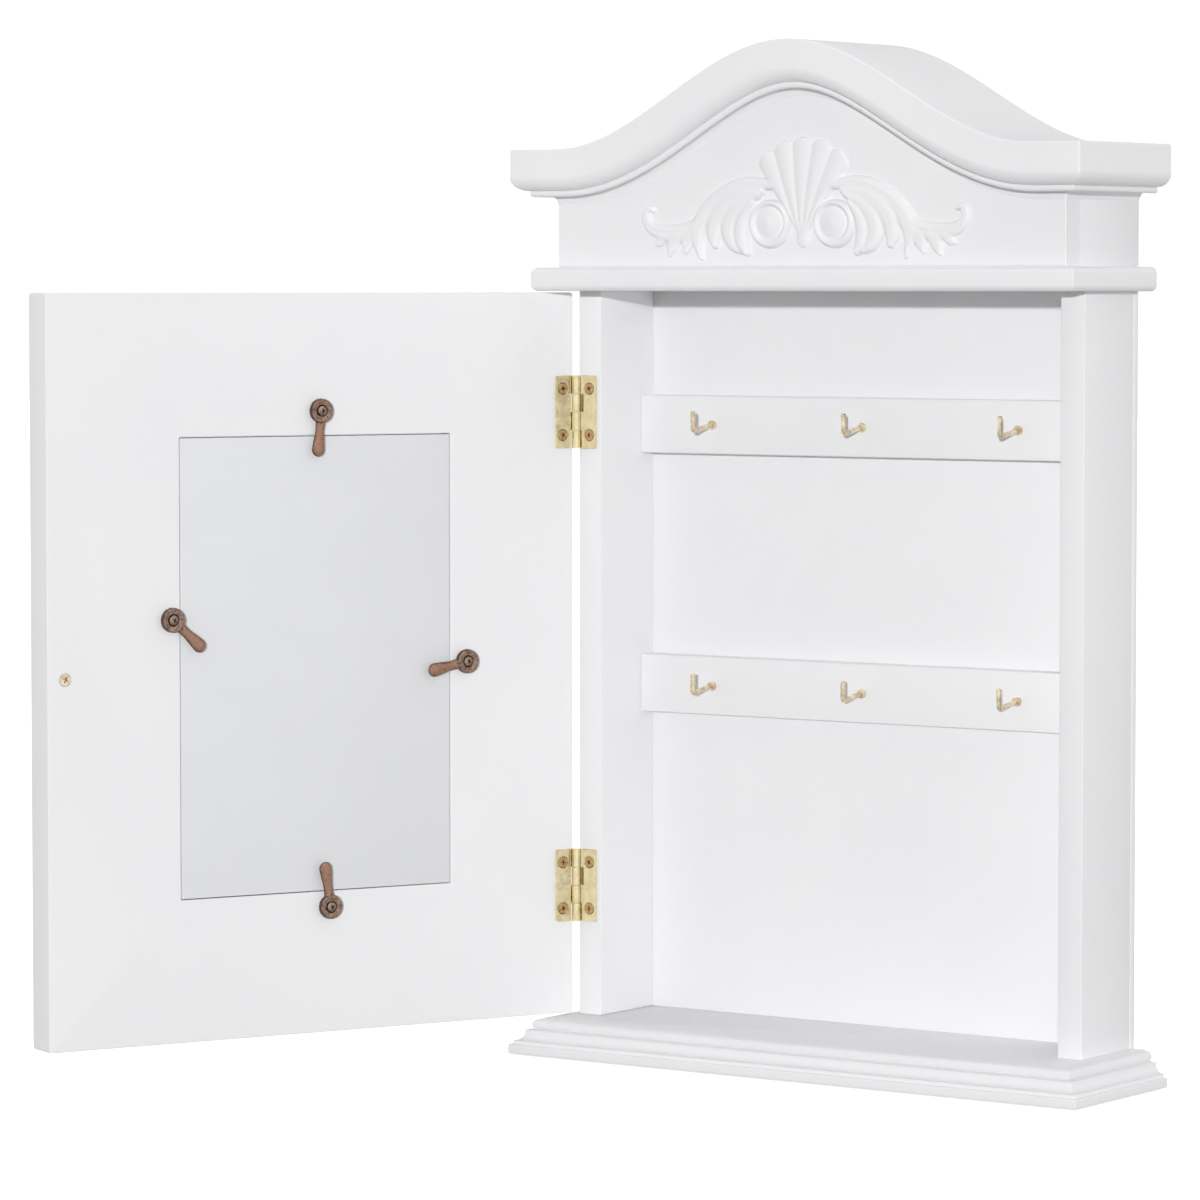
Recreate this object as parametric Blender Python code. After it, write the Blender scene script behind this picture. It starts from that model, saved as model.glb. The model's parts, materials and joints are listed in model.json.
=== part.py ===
"""Wall key cabinet with an arched crown, a picture door and two rails of hooks.

The origin is on the wall, at the middle of the back panel. +X is right, +Y points into
the wall and +Z is up. Sizes below are in millimetres; publish() turns them into metres.
"""

import math

import bmesh
import bpy
from mathutils import Matrix, Vector

MM = 0.001
GAP = 0.3  # air between two pieces that touch

# Wood screws: the threaded part, the depth of a countersunk head and the pilot hole.
SHANK_R = 0.85
SINK_DEPTH = 0.95
PILOT_R = 1.25
CLEARANCE_R = 1.15

# Case: the compartment between the base board and the belt board.
CASE_W = 200.0
CASE_H = 250.0
CASE_D = 35.0
SIDE_T = 9.0
BACK_T = 3.0
HALF_W = CASE_W / 2
HALF_H = CASE_H / 2
INNER_X = HALF_W - SIDE_T
STILE_Y = -CASE_D

# Crown: belt board, frieze, arched moulding and roof.
BELT_T = 8.0
BELT_OVER = 6.8
FRIEZE_Y = STILE_Y - 12.6
FRIEZE_T = 9.0
CROWN_END_Z = HALF_H + 48.0
CROWN_OUT = 12.0
ARCH_RISE = 35.0
ARCH_HALF = 93.0
ROOF_T = 3.0

# Base board and its stepped edge.
BASE_T = 12.0

# Hook rails.
RAIL_H = 20.0
RAIL_T = 7.5
RAIL_ZS = {"upper": HALF_H - 46.0, "lower": HALF_H - 136.0}
RAIL_FRONT_Y = -BACK_T - GAP - RAIL_T
HOOK_XS = {"left": -61.0, "middle": 0.0, "right": 61.0}
HOOK_REACH = 12.0
HOOK_DROOP = 1.8
HOOK_RISE = 4.5
HOOK_R = 0.85
HOOK_BEND = 1.2
HOOK_SHANK = 5.5
COLLAR_R = 1.6
COLLAR_T = 1.3

# Hinges. The pin stands on the case's front left corner line.
KNUCKLE_R = 1.5
LEAF_T = 0.8
LEAF_W = 7.5
HINGE_H = 25.0
KNUCKLES = 4
PIN_R = 0.7
PIN_X = -HALF_W
PIN_Y = STILE_Y - GAP - KNUCKLE_R
HINGE_ZS = {"upper": HALF_H - 41.5, "lower": -HALF_H + 45.0}
HINGE_SCREW_DZ = 8.0
HINGE_SCREW_X = 4.8
LEAF_SCREW_R = 1.9

# Door, measured from the hinge pin with the door closed.
DOOR_OPEN_DEG = 114.0
DOOR_T = 14.0
DOOR_H = CASE_H - 1.0
DOOR_X0 = GAP
DOOR_X1 = CASE_W - GAP
DOOR_BACK_Y = -KNUCKLE_R - GAP
DOOR_FRONT_Y = DOOR_BACK_Y - DOOR_T
DOOR_MID_X = (DOOR_X0 + DOOR_X1) / 2

# Window in the door and what it holds, from the inside outwards.
INSERT_W = 102.0
INSERT_H = 153.0
BACKING_T = 3.0
CARD_T = 0.5
GLASS_T = 2.0
WINDOW_LIP = 5.0
POCKET_DEPTH = BACKING_T + CARD_T + GLASS_T + 4 * GAP

# Turn buttons: place from the window's middle, and the way each one points.
# The angle is measured in the door's plane from the free edge towards the top.
BUTTONS = {
    "top": (-1.0, 85.0, -83.0),
    "bottom": (-4.0, -82.0, 80.0),
    "free_side": (54.7, 16.5, -140.0),
    "hinge_side": (-57.0, -1.0, -13.0),
}
BUTTON_HEAD_R = 4.2
BUTTON_REACH = 15.5
BUTTON_TIP_R = 2.35
BUTTON_T = 2.4

# Knob near the free edge.
KNOB_X = DOOR_X1 - 6.5
KNOB_Z = -2.0
KNOB_R = 3.8
KNOB_OUT = 6.2

# Hanging rail behind the frieze, with a keyhole plate at each end.
HANG_Z = HALF_H + 25.0
HANG_H = 24.0
HANG_T = 9.0
PLATE_X = 62.0
PLATE_W = 14.0
PLATE_H = 20.0
PLATE_T = 1.2
HANGER_SCREW_R = 1.6
HANGER_SCREW_DZ = 7.6
KEYHOLE_R = 3.6
KEYHOLE_DROP = 1.5
SLOT_HALF = 1.6
SLOT_TOP = 4.4
WELL_HALF_W = 4.2
WELL_HALF_H = 5.0
WELL_DEPTH = 6.0


# ---------------------------------------------------------------- helpers


def clear_scene():
    for obj in list(bpy.data.objects):
        bpy.data.objects.remove(obj)


def material(name, colour, roughness, metallic=0.0):
    """One Principled material per finish, shared by the pieces that have it."""
    found = bpy.data.materials.get(name)
    if found:
        return found
    made = bpy.data.materials.new(name)
    made.use_nodes = True
    shader = made.node_tree.nodes["Principled BSDF"]
    shader.inputs["Base Color"].default_value = (*colour, 1.0)
    shader.inputs["Roughness"].default_value = roughness
    shader.inputs["Metallic"].default_value = metallic
    return made


def white_paint():
    return material("satin_white_paint", (0.82, 0.82, 0.83), 0.45)


def brass():
    return material("polished_brass", (0.80, 0.62, 0.28), 0.25, 1.0)


def bronze():
    return material("antique_bronze", (0.30, 0.15, 0.08), 0.35, 1.0)


def publish(name, bm, finish, parent=None, angle=35.0):
    """Turns a mesh in millimetres into a named object in metres."""
    bmesh.ops.recalc_face_normals(bm, faces=bm.faces)
    bmesh.ops.scale(bm, vec=(MM, MM, MM), verts=bm.verts)
    mesh = bpy.data.meshes.new(name)
    bm.to_mesh(mesh)
    bm.free()
    mesh.shade_smooth()
    mesh.set_sharp_from_angle(angle=math.radians(angle))
    obj = bpy.data.objects.new(name, mesh)
    bpy.context.scene.collection.objects.link(obj)
    obj.parent = parent
    if finish:
        mesh.materials.append(finish)
    return obj


def pivot(name, location, turn, parent=None):
    """An empty on a joint's axis, which carries the pieces that move with it."""
    empty = bpy.data.objects.new(name, None)
    bpy.context.scene.collection.objects.link(empty)
    empty.parent = parent
    empty.matrix_local = Matrix.Translation(Vector(location) * MM) @ turn
    return empty


def box(low, high, round_by=0.0):
    """A block between two corners, its edges eased when round_by is given."""
    bm = bmesh.new()
    middle = (Vector(low) + Vector(high)) / 2
    size = Vector(high) - Vector(low)
    place = Matrix.Translation(middle) @ Matrix.Diagonal((*size, 1.0))
    bmesh.ops.create_cube(bm, size=1.0, matrix=place)
    if round_by:
        bmesh.ops.bevel(bm, geom=bm.edges[:], offset=round_by, segments=1, affect="EDGES")
    return bm


def prism(outline, low_y, high_y):
    """An outline drawn in X and Z, extruded along Y."""
    bm = bmesh.new()
    face = bm.faces.new([bm.verts.new((x, low_y, z)) for x, z in outline])
    grown = bmesh.ops.extrude_face_region(bm, geom=[face])
    moved = [v for v in grown["geom"] if isinstance(v, bmesh.types.BMVert)]
    bmesh.ops.translate(bm, verts=moved, vec=(0, high_y - low_y, 0))
    return bm


def turned(outline, segments, place=Matrix.Identity(4)):
    """A turned piece: radius and height pairs spun about Z, then put in place."""
    bm = bmesh.new()
    rings = []
    for radius, height in outline:
        if radius < 1e-6:
            rings.append([bm.verts.new((0, 0, height))])
            continue
        steps = [math.tau * i / segments for i in range(segments)]
        ring = [(radius * math.cos(a), radius * math.sin(a), height) for a in steps]
        rings.append([bm.verts.new(point) for point in ring])
    bridge(bm, rings)
    bmesh.ops.transform(bm, matrix=place, verts=bm.verts)
    return bm


def bridge(bm, rings):
    """Skins a run of closed rings. An end of one point is a tip; others are capped."""
    for first, second in zip(rings, rings[1:]):
        count = max(len(first), len(second))
        for i in range(count):
            j = (i + 1) % count
            if len(first) == 1:
                bm.faces.new([first[0], second[i], second[j]])
            elif len(second) == 1:
                bm.faces.new([first[i], second[0], first[j]])
            else:
                bm.faces.new([first[i], second[i], second[j], first[j]])
    for end in (rings[0], rings[-1]):
        if len(end) > 2:
            bm.faces.new(end)


def tube(points, radii, sides, across=Vector((1, 0, 0)), flat=1.0):
    """A rod through the points. across is a direction at right angles to its run."""
    bm = bmesh.new()
    rings = []
    for i, point in enumerate(points):
        ahead = points[min(i + 1, len(points) - 1)] - points[max(i - 1, 0)]
        other = ahead.normalized().cross(across).normalized()
        ring = []
        for k in range(sides):
            turn = math.tau * (k + 0.5) / sides
            out = across * math.cos(turn) * flat + other * math.sin(turn)
            ring.append(bm.verts.new(point + out * radii[i]))
        rings.append(ring)
    bridge(bm, rings)
    return bm


def change(obj, operation, name, bm, parent=None):
    """Joins a hidden tool shape to a piece, or cuts it out of the piece."""
    tool = publish(f"{obj.name}_{name}", bm, None, parent or obj.parent)
    tool.hide_render = True
    tool.display_type = "WIRE"
    modifier = obj.modifiers.new(name, "BOOLEAN")
    modifier.operation = operation
    modifier.solver = "EXACT"
    modifier.object = tool


def facing(direction):
    """Turns +Z to the given direction."""
    return Vector(direction).to_track_quat("Z", "Y").to_matrix().to_4x4()


# ---------------------------------------------------------------- case


def case_sides():
    for side, sign in (("left", -1), ("right", 1)):
        xs = sorted((sign * INNER_X, sign * HALF_W))
        low = (xs[0], STILE_Y, -HALF_H + GAP)
        high = (xs[1], -BACK_T - GAP, HALF_H - GAP)
        panel = publish(f"{side}_side_panel", box(low, high, 0.5), white_paint())
        if side == "left":
            for level, z in HINGE_ZS.items():
                for place, dz in (("top", HINGE_SCREW_DZ), ("bottom", -HINGE_SCREW_DZ)):
                    at = (PIN_X + HINGE_SCREW_X, STILE_Y, z + dz)
                    change(panel, "DIFFERENCE", f"pilot_{level}_{place}", pilot(at, 7.0))


def pilot(at, depth, direction=(0, 1, 0)):
    """A round hole for a screw, open at the surface it starts from."""
    place = Matrix.Translation(Vector(at)) @ facing(direction)
    return turned([(PILOT_R, -1.0), (PILOT_R, depth)], 10, place)


def case_back():
    low = (-HALF_W, -BACK_T, -HALF_H + GAP)
    high = (HALF_W, 0, HALF_H - GAP)
    publish("back_panel", box(low, high), white_paint())


def moulded_slab(profile, back_y):
    """A board whose front and two ends carry a profile of overhang and height."""
    bm = bmesh.new()
    rings = []
    for out, z in profile:
        x, y = HALF_W + out, FRIEZE_Y - out
        corners = [(-x, y, z), (x, y, z), (x, back_y, z), (-x, back_y, z)]
        rings.append([bm.verts.new(point) for point in corners])
    bridge(bm, rings)
    return bm


def arc(middle, radius, start, end, steps):
    """Points along an arc, angles in degrees."""
    turns = [math.radians(start + (end - start) * i / steps) for i in range(steps + 1)]
    return [
        (middle[0] + radius * math.cos(t), middle[1] + radius * math.sin(t)) for t in turns
    ]


def base_board():
    bottom = -HALF_H - BASE_T
    fillet = [(12.0, 0.0), (12.5, 0.5), (12.5, 2.8), (12.1, 3.3), (11.2, 3.3)]
    cove = arc((11.2, 7.4), 2.9, 270, 180, 4)[1:]
    step = [(8.3, 8.1), (7.2, 8.1)]
    bead = arc((4.9, 9.9), 1.7, -40, 90, 4)
    profile = [(out, bottom + z) for out, z in fillet + cove + step + bead]
    profile.append((4.0, bottom + BASE_T))
    publish("base_board", moulded_slab(profile, 0.0), white_paint())


def belt_board():
    half = BELT_T / 2
    nose = arc((BELT_OVER - 3.0, 0.0), 3.0, -90, 90, 8)
    stretched = [(out, HALF_H + half + z * half / 3.0) for out, z in nose]
    publish("belt_board", moulded_slab(stretched, 0.0), white_paint())


# ---------------------------------------------------------------- crown


def arch_point(x, drop):
    """A point on the arch at x, moved down at right angles to the arch by drop."""
    turn = math.pi * min(abs(x), ARCH_HALF) / ARCH_HALF
    z = CROWN_END_Z + ARCH_RISE / 2 * (1 + math.cos(turn))
    slope = -ARCH_RISE / 2 * math.pi / ARCH_HALF * math.sin(turn)
    slope = math.copysign(slope, -x) if x else 0.0
    length = math.hypot(1, slope)
    return x + drop * slope / length, z - drop / length


def arch_xs(end, steps=36):
    inner = [-ARCH_HALF + 2 * ARCH_HALF * i / steps for i in range(steps + 1)]
    return [-end, *inner, end]


def frieze():
    top = [arch_point(x, ROOF_T + GAP) for x in arch_xs(HALF_W)]
    foot = HALF_H + BELT_T + GAP
    outline = [(-HALF_W, foot), (HALF_W, foot), *reversed(top)]
    board = prism(outline, FRIEZE_Y, FRIEZE_Y + FRIEZE_T)
    publish("frieze_board", board, white_paint())
    for side, sign in (("left", -1), ("right", 1)):
        xs = sorted((sign * INNER_X, sign * HALF_W))
        low = (xs[0], FRIEZE_Y + FRIEZE_T + GAP, foot)
        high = (xs[1], 0.0, CROWN_END_Z - ROOF_T - GAP)
        publish(f"{side}_frieze_cheek", box(low, high), white_paint())


def roof():
    xs = arch_xs(HALF_W - GAP)
    outline = [arch_point(x, 0) for x in xs]
    outline += [arch_point(x, ROOF_T) for x in reversed(xs)]
    publish("roof_panel", prism(outline, FRIEZE_Y + GAP, 0.0), white_paint())


def crown_profile():
    """How far the moulding stands out, against how far below its top edge."""
    fascia = [(GAP, 0.0), (CROWN_OUT, 0.0), (CROWN_OUT, 9.2)]
    quarter = arc((7.4, 9.3), 4.6, 0, 90, 5)[1:]
    bead = arc((5.9, 14.9), 1.1, -35, 85, 3)
    cove = arc((4.8, 19.0), 3.0, 255, 205, 3)
    return fascia + quarter + bead + cove + [(GAP, 17.9)]


def crown_mouldings():
    profile = crown_profile()
    bm = bmesh.new()
    rings = []
    xs = arch_xs(HALF_W)
    for i, x in enumerate(xs):
        ring = []
        for out, drop in profile:
            px, pz = arch_point(x, drop)
            if i in (0, len(xs) - 1):
                px += math.copysign(out - GAP / 2, x)
            ring.append(bm.verts.new((px, FRIEZE_Y - out, pz)))
        rings.append(ring)
    bridge(bm, rings)
    publish("crown_front_moulding", bm, white_paint())
    for side, sign in (("left", -1), ("right", 1)):
        bm = bmesh.new()
        rings = []
        for end in ("mitre", "wall"):
            ring = []
            for out, drop in profile:
                y = FRIEZE_Y - out + GAP / 2 if end == "mitre" else 0.0
                point = (sign * (HALF_W + out), y, CROWN_END_Z - drop)
                ring.append(bm.verts.new(point))
            rings.append(ring)
        bridge(bm, rings)
        publish(f"crown_{side}_return", bm, white_paint())


# ---------------------------------------------------------------- carving

CARVING_Z = HALF_H + BELT_T
CARVING_BACK_Y = FRIEZE_Y - GAP
CARVING_T = 4.4
SHELL_FOOT_Z = 8.0
SHELL_R = 34.5
SHELL_HALF_DEG = 36.0
FLUTES = 7
SCROLL_X = 12.8
SCROLL_Z = 14.3
SCROLL_R = 8.0


def relief(heights):
    """A closed patch of carving: rows of (x, z, proud), flat against the frieze."""
    bm = bmesh.new()
    front, back = [], []
    for row in heights:
        front.append(
            [bm.verts.new((x, CARVING_BACK_Y - proud, CARVING_Z + z)) for x, z, proud in row]
        )
        back.append([bm.verts.new((x, CARVING_BACK_Y + 0.5, CARVING_Z + z)) for x, z, _ in row])
    rows, columns = len(heights), len(heights[0])
    for grid in (front, back):
        for i in range(rows - 1):
            for j in range(columns - 1):
                corners = [grid[i][j], grid[i + 1][j], grid[i + 1][j + 1], grid[i][j + 1]]
                bm.faces.new(corners)
    rim = [(i, 0) for i in range(rows)] + [(rows - 1, j) for j in range(1, columns)]
    rim += [(i, columns - 1) for i in range(rows - 2, -1, -1)]
    rim += [(0, j) for j in range(columns - 2, 0, -1)]
    for (i, j), (k, m) in zip(rim, rim[1:] + rim[:1]):
        bm.faces.new([front[i][j], front[k][m], back[k][m], back[i][j]])
    return bm


def shell():
    """A fan of flutes, each ending in a rounded scallop."""
    rows = []
    steps = FLUTES * 4
    for i in range(steps + 1):
        share = i / steps
        turn = math.radians(SHELL_HALF_DEG * (2 * share - 1))
        rib = abs(math.sin(math.pi * FLUTES * share))
        reach = SHELL_R - 2.4 * (2 * share - 1) ** 2 - 1.6 * (1 - rib)
        row = []
        for j in range(7):
            radius = 4.0 + (reach - 4.0) * j / 6
            lift = 1.4 + 2.2 * math.sin(math.pi * (0.15 + 0.75 * j / 6)) - 0.8 * (1 - rib) * j / 6
            row.append((radius * math.sin(turn), SHELL_FOOT_Z + radius * math.cos(turn), lift))
        rows.append(row)
    return relief(rows)


def scroll(sign):
    """A roundel: a raised ring round a domed eye."""
    outline = [(SCROLL_R, -0.5), (SCROLL_R, 2.0), (7.2, 3.2), (6.2, 2.9), (5.2, 1.7)]
    outline += [(4.0, 3.4), (2.2, 4.2), (0.0, CARVING_T)]
    at = Vector((sign * SCROLL_X, CARVING_BACK_Y, CARVING_Z + SCROLL_Z))
    return turned([(0.0, -0.5), *outline], 20, Matrix.Translation(at) @ facing((0, -1, 0)))


def leaf(sign, spine, widths, lift):
    """One lobe of foliage: a spine of (x, z) points with a width at each."""
    rows = []
    for i, (x, z) in enumerate(spine):
        before, after = spine[max(i - 1, 0)], spine[min(i + 1, len(spine) - 1)]
        run = Vector((after[0] - before[0], after[1] - before[1])).normalized()
        side = Vector((-run.y, run.x)) * widths[i] / 2
        row = []
        for j in range(5):
            across = j / 2 - 1
            proud = 0.8 + lift * (1 - across * across)
            row.append((sign * (x + side.x * across), z + side.y * across, proud))
        rows.append(row)
    return relief(rows)


LOBES = (
    # Outermost lobe, sweeping from beside the shell over the scroll and down.
    (
        [(12, 27), (20, 27), (28, 25), (35, 20.5), (39.5, 14), (41, 8), (41.2, 3.5)],
        [3, 6, 7, 7.5, 6.5, 4.5, 1.2],
        2.6,
    ),
    # Middle lobe.
    ([(18, 24.5), (26, 21), (31, 15.5), (33.2, 10), (33.6, 7)], [4, 6, 6.5, 5.5, 2.5], 2.9),
    # Inner lobe, hanging beside the scroll.
    ([(20, 22), (24.5, 17), (26, 11), (24.2, 6), (22, 4)], [3.5, 6, 7, 5.5, 2.0], 3.2),
    # Stem out to the end curl.
    (
        [(38, 18), (44, 12.5), (50, 10.5), (56, 9.8), (61.5, 11), (64.6, 15), (62.8, 20.3)],
        [5, 7, 6.5, 5, 4, 3.4, 1.6],
        2.2,
    ),
    # Small hanging leaves under the stem.
    ([(45, 12), (46.6, 8), (47, 4.8)], [5, 4.5, 1.5], 1.8),
    ([(50.5, 11), (52.6, 7.4), (53.2, 4.4)], [5, 4.5, 1.5], 1.8),
)


def carving():
    """All the carved shapes joined into one piece and sawn flat behind."""
    whole = publish("frieze_carving", shell(), white_paint(), angle=50.0)
    for side, sign in (("left", -1), ("right", 1)):
        change(whole, "UNION", f"scroll_{side}", scroll(sign))
        for i, (spine, widths, lift) in enumerate(LOBES):
            change(whole, "UNION", f"lobe_{side}_{i}", leaf(sign, spine, widths, lift))
    low = (-CASE_W, CARVING_BACK_Y, CARVING_Z - 20)
    high = (CASE_W, CARVING_BACK_Y + 5, CARVING_Z + 80)
    change(whole, "DIFFERENCE", "flat_back", box(low, high))


# ---------------------------------------------------------------- hook rails


def hook_rails():
    for level, z in RAIL_ZS.items():
        low = (-INNER_X + GAP, RAIL_FRONT_Y, z - RAIL_H / 2)
        high = (INNER_X - GAP, RAIL_FRONT_Y + RAIL_T, z + RAIL_H / 2)
        rail = publish(f"{level}_hook_rail", box(low, high, 0.4), white_paint())
        for place, x in HOOK_XS.items():
            hole = pilot((x, RAIL_FRONT_Y, z), 6.0)
            change(rail, "DIFFERENCE", f"hole_{place}", hole)
            screw_hook(f"{level}_hook_{place}", x, z)


def screw_hook(name, x, z):
    """A square screw hook: shank in the rail, collar, drooping arm and upright finger."""
    bend = HOOK_BEND
    y_out = RAIL_FRONT_Y - HOOK_REACH
    path = [Vector((x, RAIL_FRONT_Y + HOOK_SHANK, z)), Vector((x, RAIL_FRONT_Y - COLLAR_T, z))]
    for step in range(4):
        turn = math.radians(30 * step)
        y = y_out + bend - bend * math.sin(turn)
        path.append(Vector((x, y, z - HOOK_DROOP + bend - bend * math.cos(turn))))
    path.append(Vector((x, y_out, z + HOOK_RISE)))
    path.append(Vector((x, y_out, z + HOOK_RISE + 0.5)))
    radii = [HOOK_R] * (len(path) - 1) + [HOOK_R * 0.5]
    hook = publish(name, tube(path, radii, 8), brass())
    eased = [(COLLAR_R, COLLAR_T - 0.4), (COLLAR_R - 0.4, COLLAR_T)]
    outline = [(0.5, 0.0), (COLLAR_R, 0.0), *eased, (0.5, COLLAR_T)]
    at = Matrix.Translation((x, RAIL_FRONT_Y - GAP, z)) @ facing((0, -1, 0))
    change(hook, "UNION", "collar", turned(outline, 12, at))


# ---------------------------------------------------------------- hinges


def countersunk_screw(name, at, direction, parent, finish, length=6.0, head_r=LEAF_SCREW_R):
    """A countersunk screw with a cross recess. direction runs into the wood."""
    place = Matrix.Translation(Vector(at)) @ facing(direction)
    outline = [(0.0, 0.0), (head_r, 0.0), (head_r, 0.15), (SHANK_R, SINK_DEPTH)]
    outline += [(SHANK_R, length - 1.2), (0.0, length)]
    screw = publish(name, turned(outline, 14, place), finish, parent)
    cross_recess(screw, place, 1.9, 0.4)


def cross_recess(screw, place, width, slot):
    """Cuts the driver's cross into a screw head."""
    cross = bmesh.new()
    for size in ((width, slot, 0.9), (slot, width, 0.9)):
        bmesh.ops.create_cube(cross, size=1.0, matrix=Matrix.Diagonal((*size, 1.0)))
    bmesh.ops.transform(cross, matrix=place, verts=cross.verts)
    change(screw, "DIFFERENCE", "recess", cross)
    screw.modifiers["recess"].use_self = True


def screw_seat(at, direction, head_r):
    """A countersunk seat and clearance hole, a little larger than the screw."""
    rim = head_r + 0.25
    cone = [(rim, -0.5), (rim, 0.15), (CLEARANCE_R, SINK_DEPTH), (CLEARANCE_R, 3.0)]
    return turned(cone, 16, Matrix.Translation(Vector(at)) @ facing(direction))


def hinge_leaf(name, side, z_mid, parent):
    """One leaf. side is +1 for the frame's leaf and -1 for the door's leaf."""
    z0 = z_mid - HINGE_H / 2
    near, far = sorted((side * (KNUCKLE_R - LEAF_T), side * KNUCKLE_R))
    plate = box((KNUCKLE_R + GAP, near, z0), (LEAF_W, far, z0 + HINGE_H))
    leaf_obj = publish(name, plate, brass(), parent)
    pitch = HINGE_H / KNUCKLES
    owned = (0, 2) if side > 0 else (1, 3)
    for k in owned:
        low, high = z0 + pitch * k + GAP / 2, z0 + pitch * (k + 1) - GAP / 2
        if k == 0:
            low = z0
        if k == KNUCKLES - 1:
            high = z0 + HINGE_H
        barrel = turned([(KNUCKLE_R, low), (KNUCKLE_R, high)], 20)
        change(leaf_obj, "UNION", f"knuckle_{k}", barrel)
        edge = side * 0.02
        ys = sorted((side * (KNUCKLE_R - LEAF_T), side * KNUCKLE_R - edge))
        tongue = box((0.0, ys[0], low + 0.02), (KNUCKLE_R + 2.0, ys[1], high - 0.02))
        change(leaf_obj, "UNION", f"tongue_{k}", tongue)
    bore = turned([(PIN_R + 0.25, z0 - 1), (PIN_R + 0.25, z0 + HINGE_H + 1)], 16)
    change(leaf_obj, "DIFFERENCE", "bore", bore)
    for place, dz in (("top", HINGE_SCREW_DZ), ("bottom", -HINGE_SCREW_DZ)):
        face = Vector((HINGE_SCREW_X, side * (KNUCKLE_R - LEAF_T), z_mid + dz))
        seat = screw_seat(face, (0, side, 0), LEAF_SCREW_R)
        change(leaf_obj, "DIFFERENCE", f"seat_{place}", seat)
        owner = name.replace("_leaf", "")
        countersunk_screw(f"{owner}_screw_{place}", face, (0, side, 0), parent, brass())


def hinges(frame_axis, door_axis):
    for level, z in HINGE_ZS.items():
        hinge_leaf(f"{level}_hinge_frame_leaf", 1, z, frame_axis)
        hinge_leaf(f"{level}_hinge_door_leaf", -1, z, door_axis)
        half = HINGE_H / 2
        outline = [(0.0, z - half), (PIN_R, z - half), (PIN_R, z + half), (0.0, z + half)]
        publish(f"{level}_hinge_pin", turned(outline, 14), brass(), frame_axis)


# ---------------------------------------------------------------- door


def door(axis):
    low = (DOOR_X0, DOOR_FRONT_Y, -DOOR_H / 2)
    high = (DOOR_X1, DOOR_BACK_Y, DOOR_H / 2)
    slab = box(low, high)
    front = [e for e in slab.edges if all(v.co.y < DOOR_FRONT_Y + 0.01 for v in e.verts)]
    bmesh.ops.bevel(slab, geom=front, offset=2.0, segments=3, profile=0.5, affect="EDGES")
    panel = publish("door_panel", slab, white_paint(), axis)
    pocket = window_block(INSERT_W + 2 * GAP, INSERT_H + 2 * GAP, 0.0, -POCKET_DEPTH, 2.0)
    change(panel, "DIFFERENCE", "pocket", pocket)
    sight_w, sight_h = INSERT_W - 2 * WINDOW_LIP, INSERT_H - 2 * WINDOW_LIP
    sight = window_block(sight_w, sight_h, 0.0, -DOOR_T - 2, 0.0)
    change(panel, "DIFFERENCE", "sight", sight)
    change(panel, "DIFFERENCE", "window_bevel", window_bevel(sight_w, sight_h))
    for level, z in HINGE_ZS.items():
        for place, dz in (("top", HINGE_SCREW_DZ), ("bottom", -HINGE_SCREW_DZ)):
            at = (HINGE_SCREW_X, DOOR_BACK_Y, z + dz)
            hole = pilot(at, 7.0, (0, -1, 0))
            change(panel, "DIFFERENCE", f"pilot_{level}_{place}", hole)
    for name, (dx, dz, _) in BUTTONS.items():
        hole = pilot((DOOR_MID_X + dx, DOOR_BACK_Y, dz), 7.5, (0, -1, 0))
        change(panel, "DIFFERENCE", f"pilot_{name}", hole)
    through = pilot((KNOB_X, DOOR_BACK_Y, KNOB_Z), DOOR_T + 2, (0, -1, 0))
    change(panel, "DIFFERENCE", "knob_hole", through)
    seat = screw_seat((KNOB_X, DOOR_BACK_Y, KNOB_Z), (0, -1, 0), 2.1)
    change(panel, "DIFFERENCE", "knob_seat", seat)
    inserts(axis)
    for name, (dx, dz, points) in BUTTONS.items():
        turn_button(name, axis, DOOR_MID_X + dx, dz, points)
    knob(axis)


def window_block(width, height, near, far, over):
    """A block on the window's middle, from near to far behind the inner face."""
    low = (DOOR_MID_X - width / 2, DOOR_BACK_Y + far, -height / 2)
    high = (DOOR_MID_X + width / 2, DOOR_BACK_Y + near + over, height / 2)
    return box(low, high)


def window_bevel(width, height):
    """The bevel that frames the window on the door's front."""
    bm = bmesh.new()
    rings = []
    for grow, y in ((-1.0, DOOR_FRONT_Y + 3.5), (5.0, DOOR_FRONT_Y - 1.5)):
        x, z = width / 2 + grow, height / 2 + grow
        corners = [(-x, -z), (x, -z), (x, z), (-x, z)]
        rings.append([bm.verts.new((DOOR_MID_X + cx, y, cz)) for cx, cz in corners])
    bridge(bm, rings)
    return bm


def inserts(axis):
    card_paper = material("picture_card", (0.86, 0.85, 0.82), 0.8)
    board = material("grey_backing_board", (0.77, 0.77, 0.78), 0.6)
    glass = material("clear_glass", (0.9, 0.95, 0.94), 0.05)
    depth = -GAP
    layers = (
        ("backing_board", BACKING_T, board),
        ("picture_card", CARD_T, card_paper),
        ("glass_pane", GLASS_T, glass),
    )
    for name, thickness, finish in layers:
        sheet = window_block(INSERT_W, INSERT_H, depth, depth - thickness, 0.0)
        publish(name, sheet, finish, axis)
        depth -= thickness + GAP


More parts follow.
